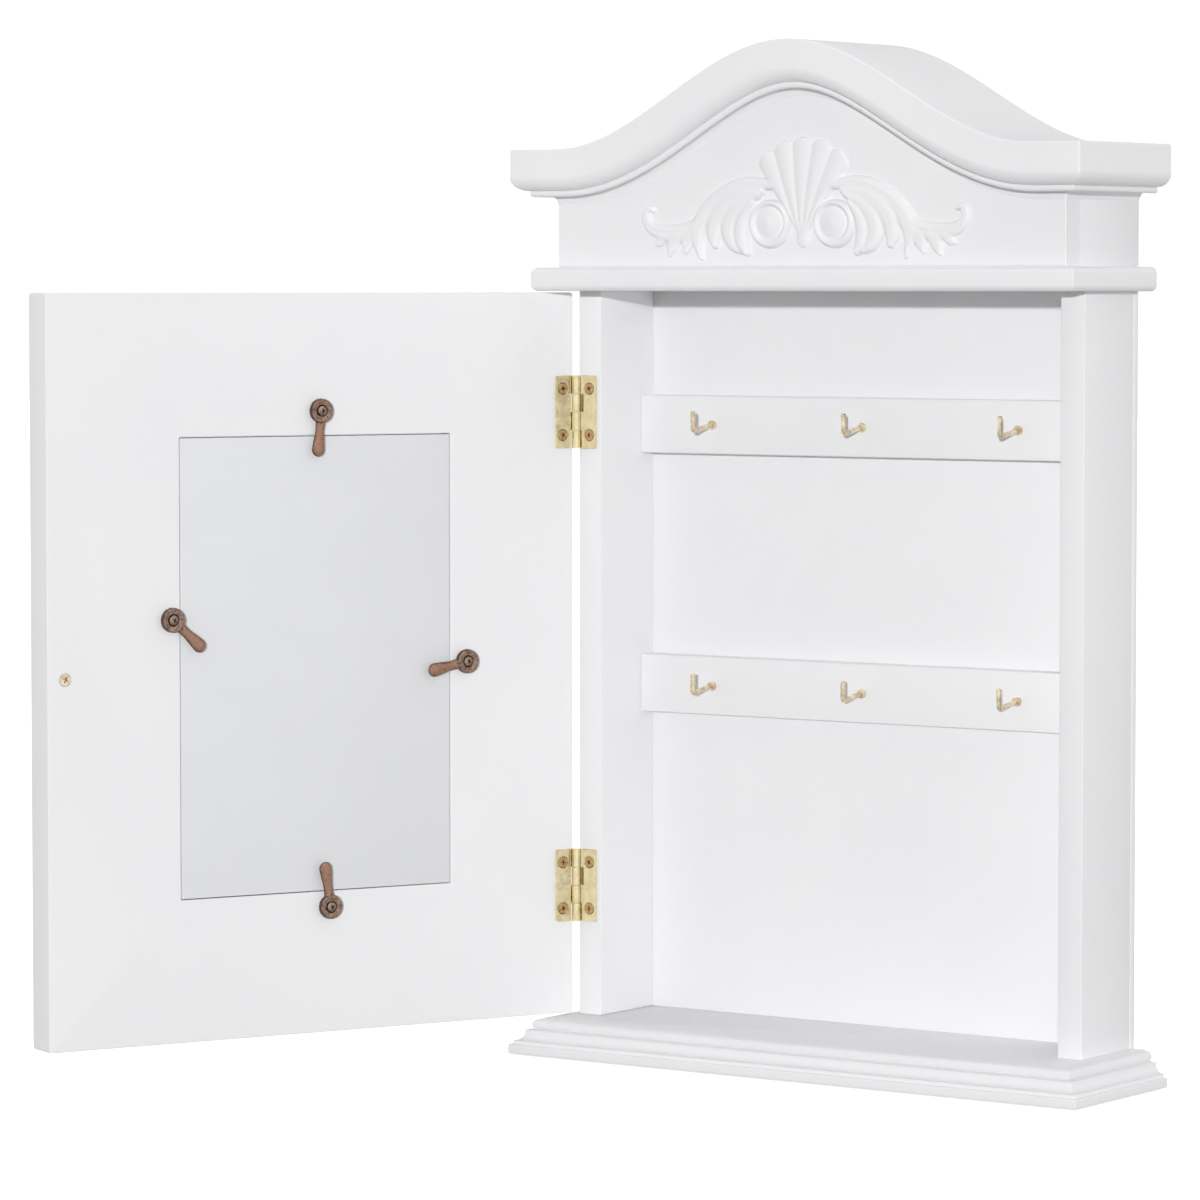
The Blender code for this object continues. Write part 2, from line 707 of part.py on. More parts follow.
def turn_button(name, axis, x, z, points):
    """A cast teardrop that turns on its screw. Its own frame points along +X."""
    at = (x, DOOR_BACK_Y + GAP, z)
    spin = Matrix.Rotation(-math.radians(points), 4, "Y")
    carrier = pivot(f"turn_button_{name}_pivot", at, spin, axis)
    up = facing((0, 1, 0))
    outline = [(0.0, 0.0), (BUTTON_HEAD_R - 0.5, 0.0), (BUTTON_HEAD_R, 0.7)]
    outline += [(BUTTON_HEAD_R - 0.3, 1.7), (3.3, BUTTON_T), (2.5, 1.9), (0.0, 1.5)]
    body = publish(f"turn_button_{name}", turned(outline, 18, up), bronze(), carrier, 50.0)
    reach = BUTTON_REACH - BUTTON_TIP_R
    spots = (2.6, 5.0, 7.0, reach - 3.0, reach, reach + 1.5, reach + BUTTON_TIP_R - 0.1)
    widths = (1.6, 1.75, 1.8, 2.2, BUTTON_TIP_R, 1.8, 0.5)
    path = [Vector((spot, BUTTON_T / 2, 0)) for spot in spots]
    finger = tube(path, widths, 8, Vector((0, 0, 1)), 1.0)
    for vert in finger.verts:
        vert.co.y = BUTTON_T / 2 + (vert.co.y - BUTTON_T / 2) * 0.5
    change(body, "UNION", "finger", finger, carrier)
    bore = turned([(CLEARANCE_R, -1.0), (CLEARANCE_R, 4.0)], 12, up)
    change(body, "DIFFERENCE", "bore", bore, carrier)
    seat = Vector((x, DOOR_BACK_Y + GAP + BUTTON_T + 0.1, z))
    button_screw(f"turn_button_screw_{name}", seat, axis)


def button_screw(name, at, axis):
    """A small raised-head screw whose head stands in the button's dish."""
    place = Matrix.Translation(at) @ facing((0, -1, 0))
    outline = [(0.0, -0.2), (1.4, 0.0), (2.2, 0.25), (0.9, 0.6), (0.9, 7.8), (0.0, 8.8)]
    screw = publish(name, turned(outline, 14, place), bronze(), axis)
    cross_recess(screw, place, 2.2, 0.45)


def knob(axis):
    """A turned knob on the front, drawn up by a screw from inside the door."""
    front = Matrix.Translation((KNOB_X, DOOR_FRONT_Y - GAP, KNOB_Z)) @ facing((0, -1, 0))
    outline = [(0.0, 0.0), (2.8, 0.0), (2.8, 0.5), (2.2, 1.0), (2.1, 1.8), (3.2, 2.5)]
    outline += [(KNOB_R, 3.4), (3.6, 4.1), (2.9, 5.0), (1.7, 5.8), (0.0, KNOB_OUT)]
    body = publish("door_knob", turned(outline, 20, front), bronze(), axis)
    socket = turned([(CLEARANCE_R, -1.0), (CLEARANCE_R, 4.4)], 12, front)
    change(body, "DIFFERENCE", "socket", socket)
    at = (KNOB_X, DOOR_BACK_Y, KNOB_Z)
    length = DOOR_T + GAP + 4.0
    countersunk_screw("door_knob_screw", at, (0, -1, 0), axis, brass(), length, 2.1)


# ---------------------------------------------------------------- wall fixing


def wall_fixing():
    """A rail behind the frieze with two keyhole plates let into its rear face."""
    steel = material("zinc_steel", (0.55, 0.56, 0.57), 0.4, 1.0)
    low = (-INNER_X + GAP, -HANG_T, HANG_Z - HANG_H / 2)
    high = (INNER_X - GAP, 0.0, HANG_Z + HANG_H / 2)
    rail = publish("hanging_rail", box(low, high), white_paint())
    for side, sign in (("left", -1), ("right", 1)):
        x = sign * PLATE_X
        half_w, half_h = PLATE_W / 2, PLATE_H / 2
        rebate = box(
            (x - half_w - GAP, -PLATE_T - GAP, HANG_Z - half_h - GAP),
            (x + half_w + GAP, 1.0, HANG_Z + half_h + GAP),
        )
        change(rail, "DIFFERENCE", f"rebate_{side}", rebate)
        well = box(
            (x - WELL_HALF_W, -WELL_DEPTH, HANG_Z - WELL_HALF_H),
            (x + WELL_HALF_W, 1.0, HANG_Z + WELL_HALF_H),
        )
        change(rail, "DIFFERENCE", f"well_{side}", well)
        plate = box(
            (x - half_w, -PLATE_T, HANG_Z - half_h), (x + half_w, 0.0, HANG_Z + half_h)
        )
        body = publish(f"hanger_plate_{side}", plate, steel)
        hole_z = HANG_Z - KEYHOLE_DROP
        round_hole = Matrix.Translation((x, -3.0, hole_z)) @ facing((0, 1, 0))
        keyhole = turned([(KEYHOLE_R, 0.0), (KEYHOLE_R, 6.0)], 20, round_hole)
        change(body, "DIFFERENCE", "keyhole", keyhole)
        slot = box((x - SLOT_HALF, -3.0, hole_z), (x + SLOT_HALF, 3.0, HANG_Z + SLOT_TOP))
        change(body, "DIFFERENCE", "keyhole_slot", slot)
        for place, dz in (("top", HANGER_SCREW_DZ), ("bottom", -HANGER_SCREW_DZ)):
            at = (x, 0.0, HANG_Z + dz)
            change(rail, "DIFFERENCE", f"pilot_{side}_{place}", pilot(at, 7.0, (0, -1, 0)))
            seat = screw_seat(at, (0, -1, 0), HANGER_SCREW_R)
            change(body, "DIFFERENCE", f"seat_{place}", seat)
            name = f"hanger_screw_{side}_{place}"
            countersunk_screw(name, at, (0, -1, 0), None, steel, 6.0, HANGER_SCREW_R)


def build():
    clear_scene()
    case_sides()
    case_back()
    base_board()
    belt_board()
    frieze()
    roof()
    crown_mouldings()
    carving()
    hook_rails()
    stand = pivot("hinge_line", (PIN_X, PIN_Y, 0), Matrix.Identity(4))
    opened = Matrix.Rotation(-math.radians(DOOR_OPEN_DEG), 4, "Z")
    swing = pivot("door_swing", (0, 0, 0), opened, stand)
    hinges(stand, swing)
    door(swing)
    wall_fixing()


build()
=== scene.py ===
import json
import math

import bmesh
import bpy
import numpy as np
from mathutils import Matrix, Vector


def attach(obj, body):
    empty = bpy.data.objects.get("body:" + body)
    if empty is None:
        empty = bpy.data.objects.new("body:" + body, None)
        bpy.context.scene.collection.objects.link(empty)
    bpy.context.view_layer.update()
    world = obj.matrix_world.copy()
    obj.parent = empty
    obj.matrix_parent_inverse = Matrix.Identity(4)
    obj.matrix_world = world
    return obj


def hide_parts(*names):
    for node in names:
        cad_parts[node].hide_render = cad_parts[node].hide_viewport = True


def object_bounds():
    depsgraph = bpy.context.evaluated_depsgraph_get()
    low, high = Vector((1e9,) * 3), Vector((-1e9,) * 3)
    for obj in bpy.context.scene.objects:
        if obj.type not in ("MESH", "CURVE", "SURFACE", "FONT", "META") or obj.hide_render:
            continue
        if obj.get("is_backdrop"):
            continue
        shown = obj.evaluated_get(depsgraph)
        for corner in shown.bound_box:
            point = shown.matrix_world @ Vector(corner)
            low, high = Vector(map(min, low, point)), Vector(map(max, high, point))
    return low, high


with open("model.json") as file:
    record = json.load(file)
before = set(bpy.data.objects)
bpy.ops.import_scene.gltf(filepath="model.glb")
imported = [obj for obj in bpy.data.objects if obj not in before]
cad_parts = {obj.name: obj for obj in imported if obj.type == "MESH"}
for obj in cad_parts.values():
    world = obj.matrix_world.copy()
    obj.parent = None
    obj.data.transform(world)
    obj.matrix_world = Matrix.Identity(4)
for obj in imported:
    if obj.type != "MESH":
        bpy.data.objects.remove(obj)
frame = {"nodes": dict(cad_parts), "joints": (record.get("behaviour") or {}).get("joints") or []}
cad_low, cad_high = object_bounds()


# ------------------------------------------------------------------ case boards
# The case is two upright sides and a thin back, cut from fibreboard and glued to the
# base below and the belt above. The edges are eased by hand with fine paper, and all of
# it is sprayed with satin white enamel, which leaves a faint orange peel.

MM = 0.001
SIDE_EASE = 0.4
BACK_EASE = 0.25


def finish(name, light, dark, patch, rough, grain, depth, metallic=0.0, stretch=(1, 1, 1)):
    """A coating that drifts between two tones in patches, over a fine grain.

    patch, grain and depth are in millimetres; rough is the range of the roughness.
    """
    coat = bpy.data.materials.new(name)
    coat.use_nodes = True
    nodes, links = coat.node_tree.nodes, coat.node_tree.links
    shader = nodes["Principled BSDF"]
    shader.inputs["Metallic"].default_value = metallic
    place = nodes.new("ShaderNodeTexCoord")
    along = nodes.new("ShaderNodeMapping")
    along.inputs["Scale"].default_value = stretch
    links.new(place.outputs["Object"], along.inputs["Vector"])
    drift = nodes.new("ShaderNodeTexNoise")
    drift.name = "drift"
    drift.inputs["Scale"].default_value = 1 / (patch * MM)
    drift.inputs["Detail"].default_value = 4.0
    links.new(along.outputs["Vector"], drift.inputs["Vector"])
    tones = nodes.new("ShaderNodeValToRGB")
    tones.name = "tones"
    tones.color_ramp.elements[0].position = 0.36
    tones.color_ramp.elements[0].color = (*dark, 1)
    tones.color_ramp.elements[1].position = 0.64
    tones.color_ramp.elements[1].color = (*light, 1)
    links.new(drift.outputs["Fac"], tones.inputs["Fac"])
    links.new(tones.outputs["Color"], shader.inputs["Base Color"])
    gloss = nodes.new("ShaderNodeMapRange")
    gloss.inputs["From Min"].default_value = 0.3
    gloss.inputs["From Max"].default_value = 0.7
    gloss.inputs["To Min"].default_value = rough[0]
    gloss.inputs["To Max"].default_value = rough[1]
    links.new(drift.outputs["Fac"], gloss.inputs["Value"])
    links.new(gloss.outputs["Result"], shader.inputs["Roughness"])
    peel = nodes.new("ShaderNodeTexNoise")
    peel.name = "peel"
    peel.inputs["Scale"].default_value = 1 / (grain * MM)
    peel.inputs["Detail"].default_value = 3.0
    links.new(along.outputs["Vector"], peel.inputs["Vector"])
    dents = nodes.new("ShaderNodeBump")
    dents.name = "dents"
    dents.inputs["Strength"].default_value = 0.6
    dents.inputs["Distance"].default_value = depth * MM
    links.new(peel.outputs["Fac"], dents.inputs["Height"])
    links.new(dents.outputs["Normal"], shader.inputs["Normal"])
    return coat


def span(node, axes=Matrix.Identity(4)):
    """Lowest and highest corner of a part in millimetres, along its own axes."""
    turned_back = axes.inverted()
    points = [turned_back @ v.co / MM for v in frame["nodes"][node].data.vertices]
    low = Vector([min(p[i] for p in points) for i in range(3)])
    high = Vector([max(p[i] for p in points) for i in range(3)])
    return low, high


def eased_box(low, high, ease, steps=3):
    """A board between two corners, with every arris rounded over."""
    bm = bmesh.new()
    low, high = Vector(low), Vector(high)
    place = Matrix.Translation((low + high) / 2) @ Matrix.Diagonal((*(high - low), 1))
    bmesh.ops.create_cube(bm, size=1.0, matrix=place)
    bmesh.ops.bevel(bm, geom=bm.edges[:], offset=ease, segments=steps, profile=0.5, affect="EDGES")
    return bm


def shade(mesh, crease):
    """Smooth shading that stays sharp at arrises above the crease, in degrees."""
    mesh.shade_smooth()
    mesh.set_sharp_from_angle(angle=math.radians(crease))


def solid(name, bm, coat, axes=Matrix.Identity(4), crease=40.0):
    """Turns a mesh in millimetres into a smooth-shaded piece on the given axes."""
    bmesh.ops.recalc_face_normals(bm, faces=bm.faces)
    bmesh.ops.scale(bm, vec=(MM, MM, MM), verts=bm.verts)
    mesh = bpy.data.meshes.new(name)
    bm.to_mesh(mesh)
    bm.free()
    shade(mesh, crease)
    mesh.materials.append(coat)
    piece = bpy.data.objects.new(name, mesh)
    bpy.context.scene.collection.objects.link(piece)
    piece.matrix_world = axes
    return piece


def settle(piece, body, slot, *nodes):
    """The piece moves with its body and stands for its parts, which are hidden; slot is not used.
    """
    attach(piece, body)
    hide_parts(*nodes)
    return piece


white = finish(
    "satin_white_enamel",
    (0.852, 0.852, 0.860),
    (0.838, 0.839, 0.848),
    60.0,
    (0.38, 0.48),
    0.9,
    0.012,
)

belt_low, belt_high = span("belt_board")
base_low, base_high = span("base_board")
for side in ("left", "right"):
    low, high = span(f"{side}_side_panel")
    low.z, high.z = base_high.z, belt_low.z
    high.y = span("back_panel")[0].y
    upright = solid(f"{side}_upright", eased_box(low, high, SIDE_EASE), white)
    settle(upright, "cabinet", "white_paint", f"{side}_side_panel")

low, high = span("back_panel")
low.z, high.z = base_high.z, belt_low.z
thin_back = solid("thin_back", eased_box(low, high, BACK_EASE), white)
settle(thin_back, "cabinet", "white_paint", "back_panel")


# ------------------------------------------------------------------ base board
# A moulded board closes the foot of the case. Its front and both ends are run over a
# spindle cutter: a flat fillet at the bottom, a cove, a small step and a bead on top,
# with the corners mitred and softened by the paint.

CORNER_SOFT = 0.5
COVE_R = 2.9
COVE_Z = 7.4
BEAD_R = 1.72
BEAD_Z = 9.9


def bow(middle, radius, start, end, steps=10):
    """Points along an arc of a cutter's profile, angles in degrees."""
    turns = [math.radians(start + (end - start) * i / steps) for i in range(steps + 1)]
    return [(middle[0] + radius * math.cos(t), middle[1] + radius * math.sin(t)) for t in turns]


def skin(bm, rings, closed_ends=True):
    """Joins a run of closed rings of points with faces."""
    for first, second in zip(rings, rings[1:]):
        for i in range(len(first)):
            j = (i + 1) % len(first)
            bm.faces.new([first[i], second[i], second[j], first[j]])
    if closed_ends:
        bm.faces.new(rings[0])
        bm.faces.new(rings[-1])


def run_moulding(profile, half_w, front_y, back_y):
    """A board whose front and ends carry a profile of overhang and height."""
    bm = bmesh.new()
    rings = []
    for out, z in profile:
        x, y = half_w + out, front_y - out
        soft = CORNER_SOFT
        left = bow((-x + soft, y + soft), soft, 180, 270, 5)
        right = bow((x - soft, y + soft), soft, 270, 360, 5)
        plan = [(-x, back_y), *left, *right, (x, back_y)]
        rings.append([bm.verts.new((px, py, z)) for px, py in plan])
    skin(bm, rings)
    return bm


frieze_low, frieze_high = span("frieze_board")
half_case = frieze_high.x
foot = base_low.z
fillet = bow((12.1, 0.4), 0.4, -90, 0, 3) + bow((12.0, 2.8), 0.5, 0, 90, 4) + [(11.25, 3.3)]
cove = [(11.2, 3.4)] + bow((11.2, COVE_Z), COVE_R, 270, 180, 12)
step = [(8.3, 7.9), *bow((8.1, 7.9), 0.2, 0, 90, 2), (7.2, 8.12)]
bead = bow((4.9, BEAD_Z), BEAD_R, -50, 90, 12)
profile = [(11.5, 0.0)] + fillet + cove + step + bead + [(4.3, base_high.z - foot - 0.25)]
profile = [(out, foot + z) for out, z in profile] + [(3.9, base_high.z)]
plinth_mesh = run_moulding(profile, half_case, frieze_low.y, 0.0)
plinth = solid("moulded_base", plinth_mesh, white, crease=50)
settle(plinth, "cabinet", "white_paint", "base_board")


# ------------------------------------------------------------------ belt board
# The belt is the board that the crown stands on. It oversails the case on three sides
# and the two arrises of its edge are rounded over. It is glued down on the two sides.

BELT_ARRIS = 2.2

belt_out = belt_high.x - half_case
profile = bow((belt_out - BELT_ARRIS, belt_low.z + BELT_ARRIS), BELT_ARRIS, -90, 0, 10)
profile += bow((belt_out - BELT_ARRIS, belt_high.z - BELT_ARRIS), BELT_ARRIS, 0, 90, 10)
belt_mesh = run_moulding(profile, half_case, frieze_low.y, 0.0)
belt = solid("rounded_belt", belt_mesh, white, crease=50)
settle(belt, "cabinet", "white_paint", "belt_board")


# ------------------------------------------------------------------ crown boards
# Behind the mouldings the crown is a box: a frieze board sawn to the arch in front, a
# straight cheek on each side and a thin bent roof over the top, all glued and pinned,
# filled and painted with the rest.

ARCH_HALF = 93.0
ROOF_T = 3.0
ARCH_STEPS = 120
FRIEZE_EASE = 0.5
CHEEK_EASE = 0.12

crown_high = span("crown_front_moulding")[1]
arch_top = crown_high.z
arch_foot = span("crown_right_return")[1].z
arch_rise = arch_top - arch_foot


def on_arch(x, drop):
    """A point on the arch above x, moved square to the arch by drop."""
    turn = math.pi * min(abs(x), ARCH_HALF) / ARCH_HALF
    z = arch_foot + arch_rise / 2 * (1 + math.cos(turn))
    slope = -math.copysign(arch_rise / 2 * math.pi / ARCH_HALF * math.sin(turn), x)
    length = math.hypot(1, slope)
    return x + drop * slope / length, z - drop / length


def along_arch(end):
    """Stations along the arch from one end to the other."""
    inner = np.linspace(-ARCH_HALF, ARCH_HALF, ARCH_STEPS + 1)
    return [-end, *inner.tolist(), end]


def extruded(outline, near, far):
    """An outline drawn in X and Z, carried back along Y."""
    bm = bmesh.new()
    skin(bm, [[bm.verts.new((x, y, z)) for x, z in outline] for y in (near, far)])
    return bm


stations = along_arch(half_case)
top = [on_arch(x, ROOF_T) for x in stations]
outline = [(-half_case, belt_high.z), (half_case, belt_high.z), *reversed(top)]
board = extruded(outline, frieze_low.y, frieze_high.y)
uprights = [
    e
    for e in board.edges
    if all(v.co.y < frieze_low.y + 0.1 and abs(v.co.x) > half_case - 0.1 for v in e.verts)
]
bmesh.ops.bevel(board, geom=uprights, offset=FRIEZE_EASE, segments=3, affect="EDGES")
sawn_frieze = solid("sawn_frieze", board, white, crease=30)
settle(sawn_frieze, "cabinet", "white_paint", "frieze_board")

for side in ("left", "right"):
    low, high = span(f"{side}_frieze_cheek")
    low.y, low.z, high.z = frieze_high.y, belt_high.z, arch_foot - ROOF_T
    cheek = solid(f"{side}_crown_cheek", eased_box(low, high, CHEEK_EASE, 2), white)
    settle(cheek, "cabinet", "white_paint", f"{side}_frieze_cheek")

outline = [on_arch(x, 0) for x in stations] + [on_arch(x, ROOF_T) for x in reversed(stations)]
bent_roof = solid("bent_roof", extruded(outline, frieze_low.y, 0.0), white, crease=30)
settle(bent_roof, "cabinet", "white_paint", "roof_panel")


# ------------------------------------------------------------------ crown mouldings
# The cornice is one profile in three lengths: an arched front piece and a straight
# return on each side, mitred at the front corners. From the top it has a flat fascia, a
# quarter round, a small bead and a cove that dies into the frieze.

MITRE_SOFT = 0.9
FASCIA_DROP = 8.9
QUARTER_R = 4.6
CROWN_BEAD_R = 1.1
CROWN_COVE_R = 3.6
COVE_FOOT = 18.4

crown_out = crown_high.x - half_case
fascia = [(0.0, 0.0)] + bow((crown_out - 0.7, 0.7), 0.7, -90, 0, 6)
quarter = [(crown_out, FASCIA_DROP)] + bow((7.4, 9.3), QUARTER_R, 4, 90, 14)
bead = bow((5.9, 14.9), CROWN_BEAD_R, -48, 98, 10)
cove = bow((3.7, 18.6), CROWN_COVE_R, 262, 186, 10)
profile = fascia + quarter + bead + cove + [(0.0, COVE_FOOT)]


def mitre_ring(bm, sign, turn):
    """The profile set part way round a softened front corner; turn runs from -90 to 0."""
    t = math.radians(turn)
    ring = []
    for out, drop in profile:
        x = half_case + out - MITRE_SOFT * (1 - math.cos(t))
        y = frieze_low.y - out + MITRE_SOFT * (1 + math.sin(t))
        ring.append(bm.verts.new((sign * x, y, arch_foot - drop)))
    return ring


bm = bmesh.new()
rings = [mitre_ring(bm, -1, turn) for turn in (-45, -60, -75, -90)]
for x in along_arch(half_case - MITRE_SOFT):
    points = [(*on_arch(x, drop), out) for out, drop in profile]
    rings.append([bm.verts.new((px, frieze_low.y - out, pz)) for px, pz, out in points])
rings += [mitre_ring(bm, 1, turn) for turn in (-90, -75, -60, -45)]
skin(bm, rings)
arched = solid("arched_cornice", bm, white, crease=42)
settle(arched, "cabinet", "white_paint", "crown_front_moulding")

for side, sign in (("left", -1), ("right", 1)):
    bm = bmesh.new()
    rings = [mitre_ring(bm, sign, turn) for turn in (-45, -30, -15, 0)]
    ends = [(sign * (half_case + out), 0.0, arch_foot - drop) for out, drop in profile]
    rings.append([bm.verts.new(end) for end in ends])
    skin(bm, rings)
    cornice_return = solid(f"{side}_cornice_return", bm, white, crease=42)
    settle(cornice_return, "cabinet", "white_paint", f"crown_{side}_return")


# ------------------------------------------------------------------ carved ornament
# A pressed-wood ornament is glued to the middle of the frieze and painted in with it: a
# fluted shell over two ringed roundels, an acanthus leaf falling away on each side, and
# a stem with small leaflets that ends in a curl.

CELL = 0.25
ORNAMENT_HALF = 68.0
ORNAMENT_FOOT = 1.0
ORNAMENT_TOP = 44.5
SUNK = 0.45
WALL = 0.6
FLANK = 5.0
MOST_RELIEF = 4.5
BLUNT = 3.0
PAINT_PASSES = 3
FLUTES = 5
FAN_FOOT = 8.3
FAN_R = 34.8
HALF_FAN_DEG = 34.5
ROUNDEL_X = 12.8
ROUNDEL_Z = 14.3
ROUNDEL_R = 8.1
VEIN_HALF = 0.6

carve_z = belt_high.z
xs = np.arange(-ORNAMENT_HALF, ORNAMENT_HALF + CELL / 2, CELL)
zs = np.arange(ORNAMENT_FOOT, ORNAMENT_TOP + CELL / 2, CELL)
grid_x, grid_z = np.meshgrid(xs, zs)


def flowing(points, steps=9):
    """A smooth line through the points, each a row of numbers."""
    p = np.array(points, float)
    p = np.vstack([2 * p[0] - p[1], p, 2 * p[-1] - p[-2]])
    rows = []
    for a, b, c, d in zip(p, p[1:], p[2:], p[3:]):
        for t in np.arange(steps) / steps:
            rows.append(
                0.5 * (2 * b + (c - a) * t + (2 * a - 5 * b + 4 * c - d) * t**2
                       + (3 * b - a - 3 * c + d) * t**3)
            )
    rows.append(p[-2])
    return np.array(rows)


def from_line(line):
    """Distance from a line of x, z, half-width rows, with the width there."""
    near = np.full(grid_x.shape, 1e9)
    width = np.ones(grid_x.shape)
    for (ax, az, aw), (bx, bz, bw) in zip(line[:, :3], line[1:, :3]):
        run_x, run_z = bx - ax, bz - az
        length = run_x**2 + run_z**2 + 1e-12
        t = np.clip(((grid_x - ax) * run_x + (grid_z - az) * run_z) / length, 0, 1)
        off_x, off_z = grid_x - ax - t * run_x, grid_z - az - t * run_z
        w = aw + t * (bw - aw)
        d = np.hypot(off_x, off_z)
        closer = d - w < near - width
        near = np.where(closer, d, near)
        width = np.where(closer, w, width)
    return near, width


def ridge(points, crown, vein):
    """A rounded lobe along a line, with a vein scored down its middle."""
    d, w = from_line(flowing(points))
    across = np.clip(d / w, 0, 1)
    up = WALL + crown * np.sqrt(1 - across**2)
    up -= vein * np.exp(-((d / VEIN_HALF) ** 2)) * (across < 1)
    return np.where(d <= w, up, WALL - FLANK * (d - w))


def shell():
    """A fan of five flutes with a scalloped rim, narrowing to a ribbed foot."""
    half_fan = math.radians(HALF_FAN_DEG)
    r = np.hypot(grid_x, grid_z - FAN_FOOT)
    turn = np.arctan2(grid_x, grid_z - FAN_FOOT)
    share = np.clip((turn + half_fan) / (2 * half_fan), 0, 1)
    flute = np.abs(np.sin(math.pi * FLUTES * share)) ** 0.75
    reach = FAN_R - 2.2 * (2 * share - 1) ** 2 - 1.7 * (1 - flute)
    rise = r / reach
    belly = np.sin(math.pi * np.clip(0.15 + 0.72 * rise, 0, 1))
    up = 0.8 + 1.5 * belly - (0.4 + 0.3 * np.clip(rise, 0, 1)) * (1 - flute)
    edge = np.minimum(reach - r, (half_fan - np.abs(turn)) * r)
    up = np.minimum(up, WALL * 0.5 + 2.2 * np.sqrt(np.clip(edge / 2.0, 0, 1)))
    return np.where(edge >= 0, up, WALL * 0.5 + FLANK * edge)


def roundel(sign):
    """A rolled ring round a low domed eye with a small boss at its middle."""
    off_x, off_z = sign * grid_x - ROUNDEL_X, grid_z - ROUNDEL_Z
    r = np.hypot(off_x, off_z)
    turn = np.arctan2(off_z, off_x)
    groove = 5.5 + 0.5 * np.cos(turn - 2.2)
    across = (r - groove) / (ROUNDEL_R - groove)
    roll = WALL + 2.1 * np.sqrt(np.clip(1 - (2 * across - 1) ** 2, 0, 1))
    eye = 1.0 + 1.5 * np.sqrt(np.clip(1 - (r / groove) ** 2, 0, 1))
    boss = 0.35 * np.exp(-((r / 1.6) ** 2))
    up = np.where(r < groove, eye + boss, roll)
    return np.where(r <= ROUNDEL_R, up, WALL - FLANK * (r - ROUNDEL_R))


LEAF = (
    # The outer lobe springs beside the shell, arches over the roundel and falls away.
    ([(12, 27.0, 1.5), (17.5, 27.6, 2.3), (24.5, 27.0, 2.8), (31, 24.4, 3.0), (37, 20.0, 3.1),
      (40.8, 14.6, 3.0), (41.8, 9.2, 2.2), (41.0, 5.4, 1.4), (40.4, 3.2, 0.7)], 1.5, 0.12),
    ([(16, 25.2, 1.4), (23.5, 24.0, 2.5), (29.8, 20.8, 3.2), (34.0, 15.8, 3.5), (35.2, 11.0, 2.9),
      (34.6, 7.6, 1.5)], 2.0, 0.12),
    ([(17, 24.0, 1.2), (23, 21.2, 2.5), (27.6, 16.6, 3.4), (28.8, 11.4, 3.2), (27.0, 7.4, 2.2),
      (24.4, 5.2, 1.0)], 2.3, 0.1),
    ([(19.0, 21.4, 1.0), (22.4, 17.4, 2.2), (24.0, 12.4, 2.8), (23.4, 7.8, 2.5), (21.8, 4.8, 1.2)],
     2.6, 0.1),
)
STEM = [(39.0, 15.6, 2.6), (44.8, 12.4, 3.2), (50.0, 11.4, 3.2), (55.4, 11.6, 2.7),
        (60.2, 13.0, 2.2), (62.6, 15.6, 1.8), (62.8, 18.4, 1.5), (61.2, 19.9, 1.1),
        (59.9, 19.0, 0.8)]
LEAFLETS = (
    ([(43.4, 12.0, 1.6), (45.8, 8.6, 2.4), (46.9, 5.0, 0.8)], 1.2, 0.1),
    ([(49.4, 10.8, 1.6), (52.0, 7.6, 2.4), (53.2, 4.4, 0.8)], 1.2, 0.1),
    ([(54.6, 10.2, 1.2), (57.0, 8.6, 1.6), (58.8, 7.8, 0.6)], 0.9, 0.1),
)


def melted(first, second):
    """The higher of two shapes, with the crease between them filled by paint."""
    return np.logaddexp(BLUNT * first, BLUNT * second) / BLUNT


relief = melted(shell(), ridge([(0, 12.5, 2.2), (0, 10.2, 2.6), (0, 8.4, 2.0)], 1.0, 0.2))
for sign in (-1, 1):
    for points, crown, vein in LEAF + LEAFLETS:
        line = [(sign * x, z, w) for x, z, w in points]
        relief = melted(relief, ridge(line, crown, vein))
    relief = melted(relief, ridge([(sign * x, z, w) for x, z, w in STEM], 1.3, 0.25))
    relief = melted(relief, roundel(sign))
for _ in range(PAINT_PASSES):
    padded = np.pad(relief, 1, mode="edge")
    around = padded[:-2, 1:-1] + padded[2:, 1:-1] + padded[1:-1, :-2] + padded[1:-1, 2:]
    relief = 0.5 * relief + 0.125 * around
relief = np.clip(relief, -SUNK, MOST_RELIEF)

corners = [relief[:-1, :-1], relief[1:, :-1], relief[:-1, 1:], relief[1:, 1:]]
kept = np.maximum.reduce(corners) > -SUNK + 0.02
bm = bmesh.new()
front_points = {}
for row, column in zip(*np.nonzero(kept)):
    ring = []
    for r, c in ((row, column), (row + 1, column), (row + 1, column + 1), (row, column + 1)):
        if (r, c) not in front_points:
            point = (xs[c], frieze_low.y - relief[r, c], carve_z + zs[r])
            front_points[r, c] = bm.verts.new(point)
        ring.append(front_points[r, c])
    bm.faces.new(ring)
rim = [e for e in bm.edges if e.is_boundary]
grown = bmesh.ops.extrude_edge_only(bm, edges=rim)
rear = [v for v in grown["geom"] if isinstance(v, bmesh.types.BMVert)]
for v in rear:
    v.co.y = frieze_low.y + 1.0
rear_rim = [e for e in grown["geom"] if isinstance(e, bmesh.types.BMEdge) and e.is_boundary]
bmesh.ops.triangle_fill(bm, edges=rear_rim, use_beauty=False, use_dissolve=True)
ornament = solid("shell_ornament", bm, white, crease=180)
settle(ornament, "cabinet", "white_paint", "frieze_carving")


# ------------------------------------------------------------------ hook rails
# Two flat rails run across the back panel, glued between the sides. Each carries three
# hooks. Their edges are eased and they are painted with the case.

RAIL_EASE = 0.6

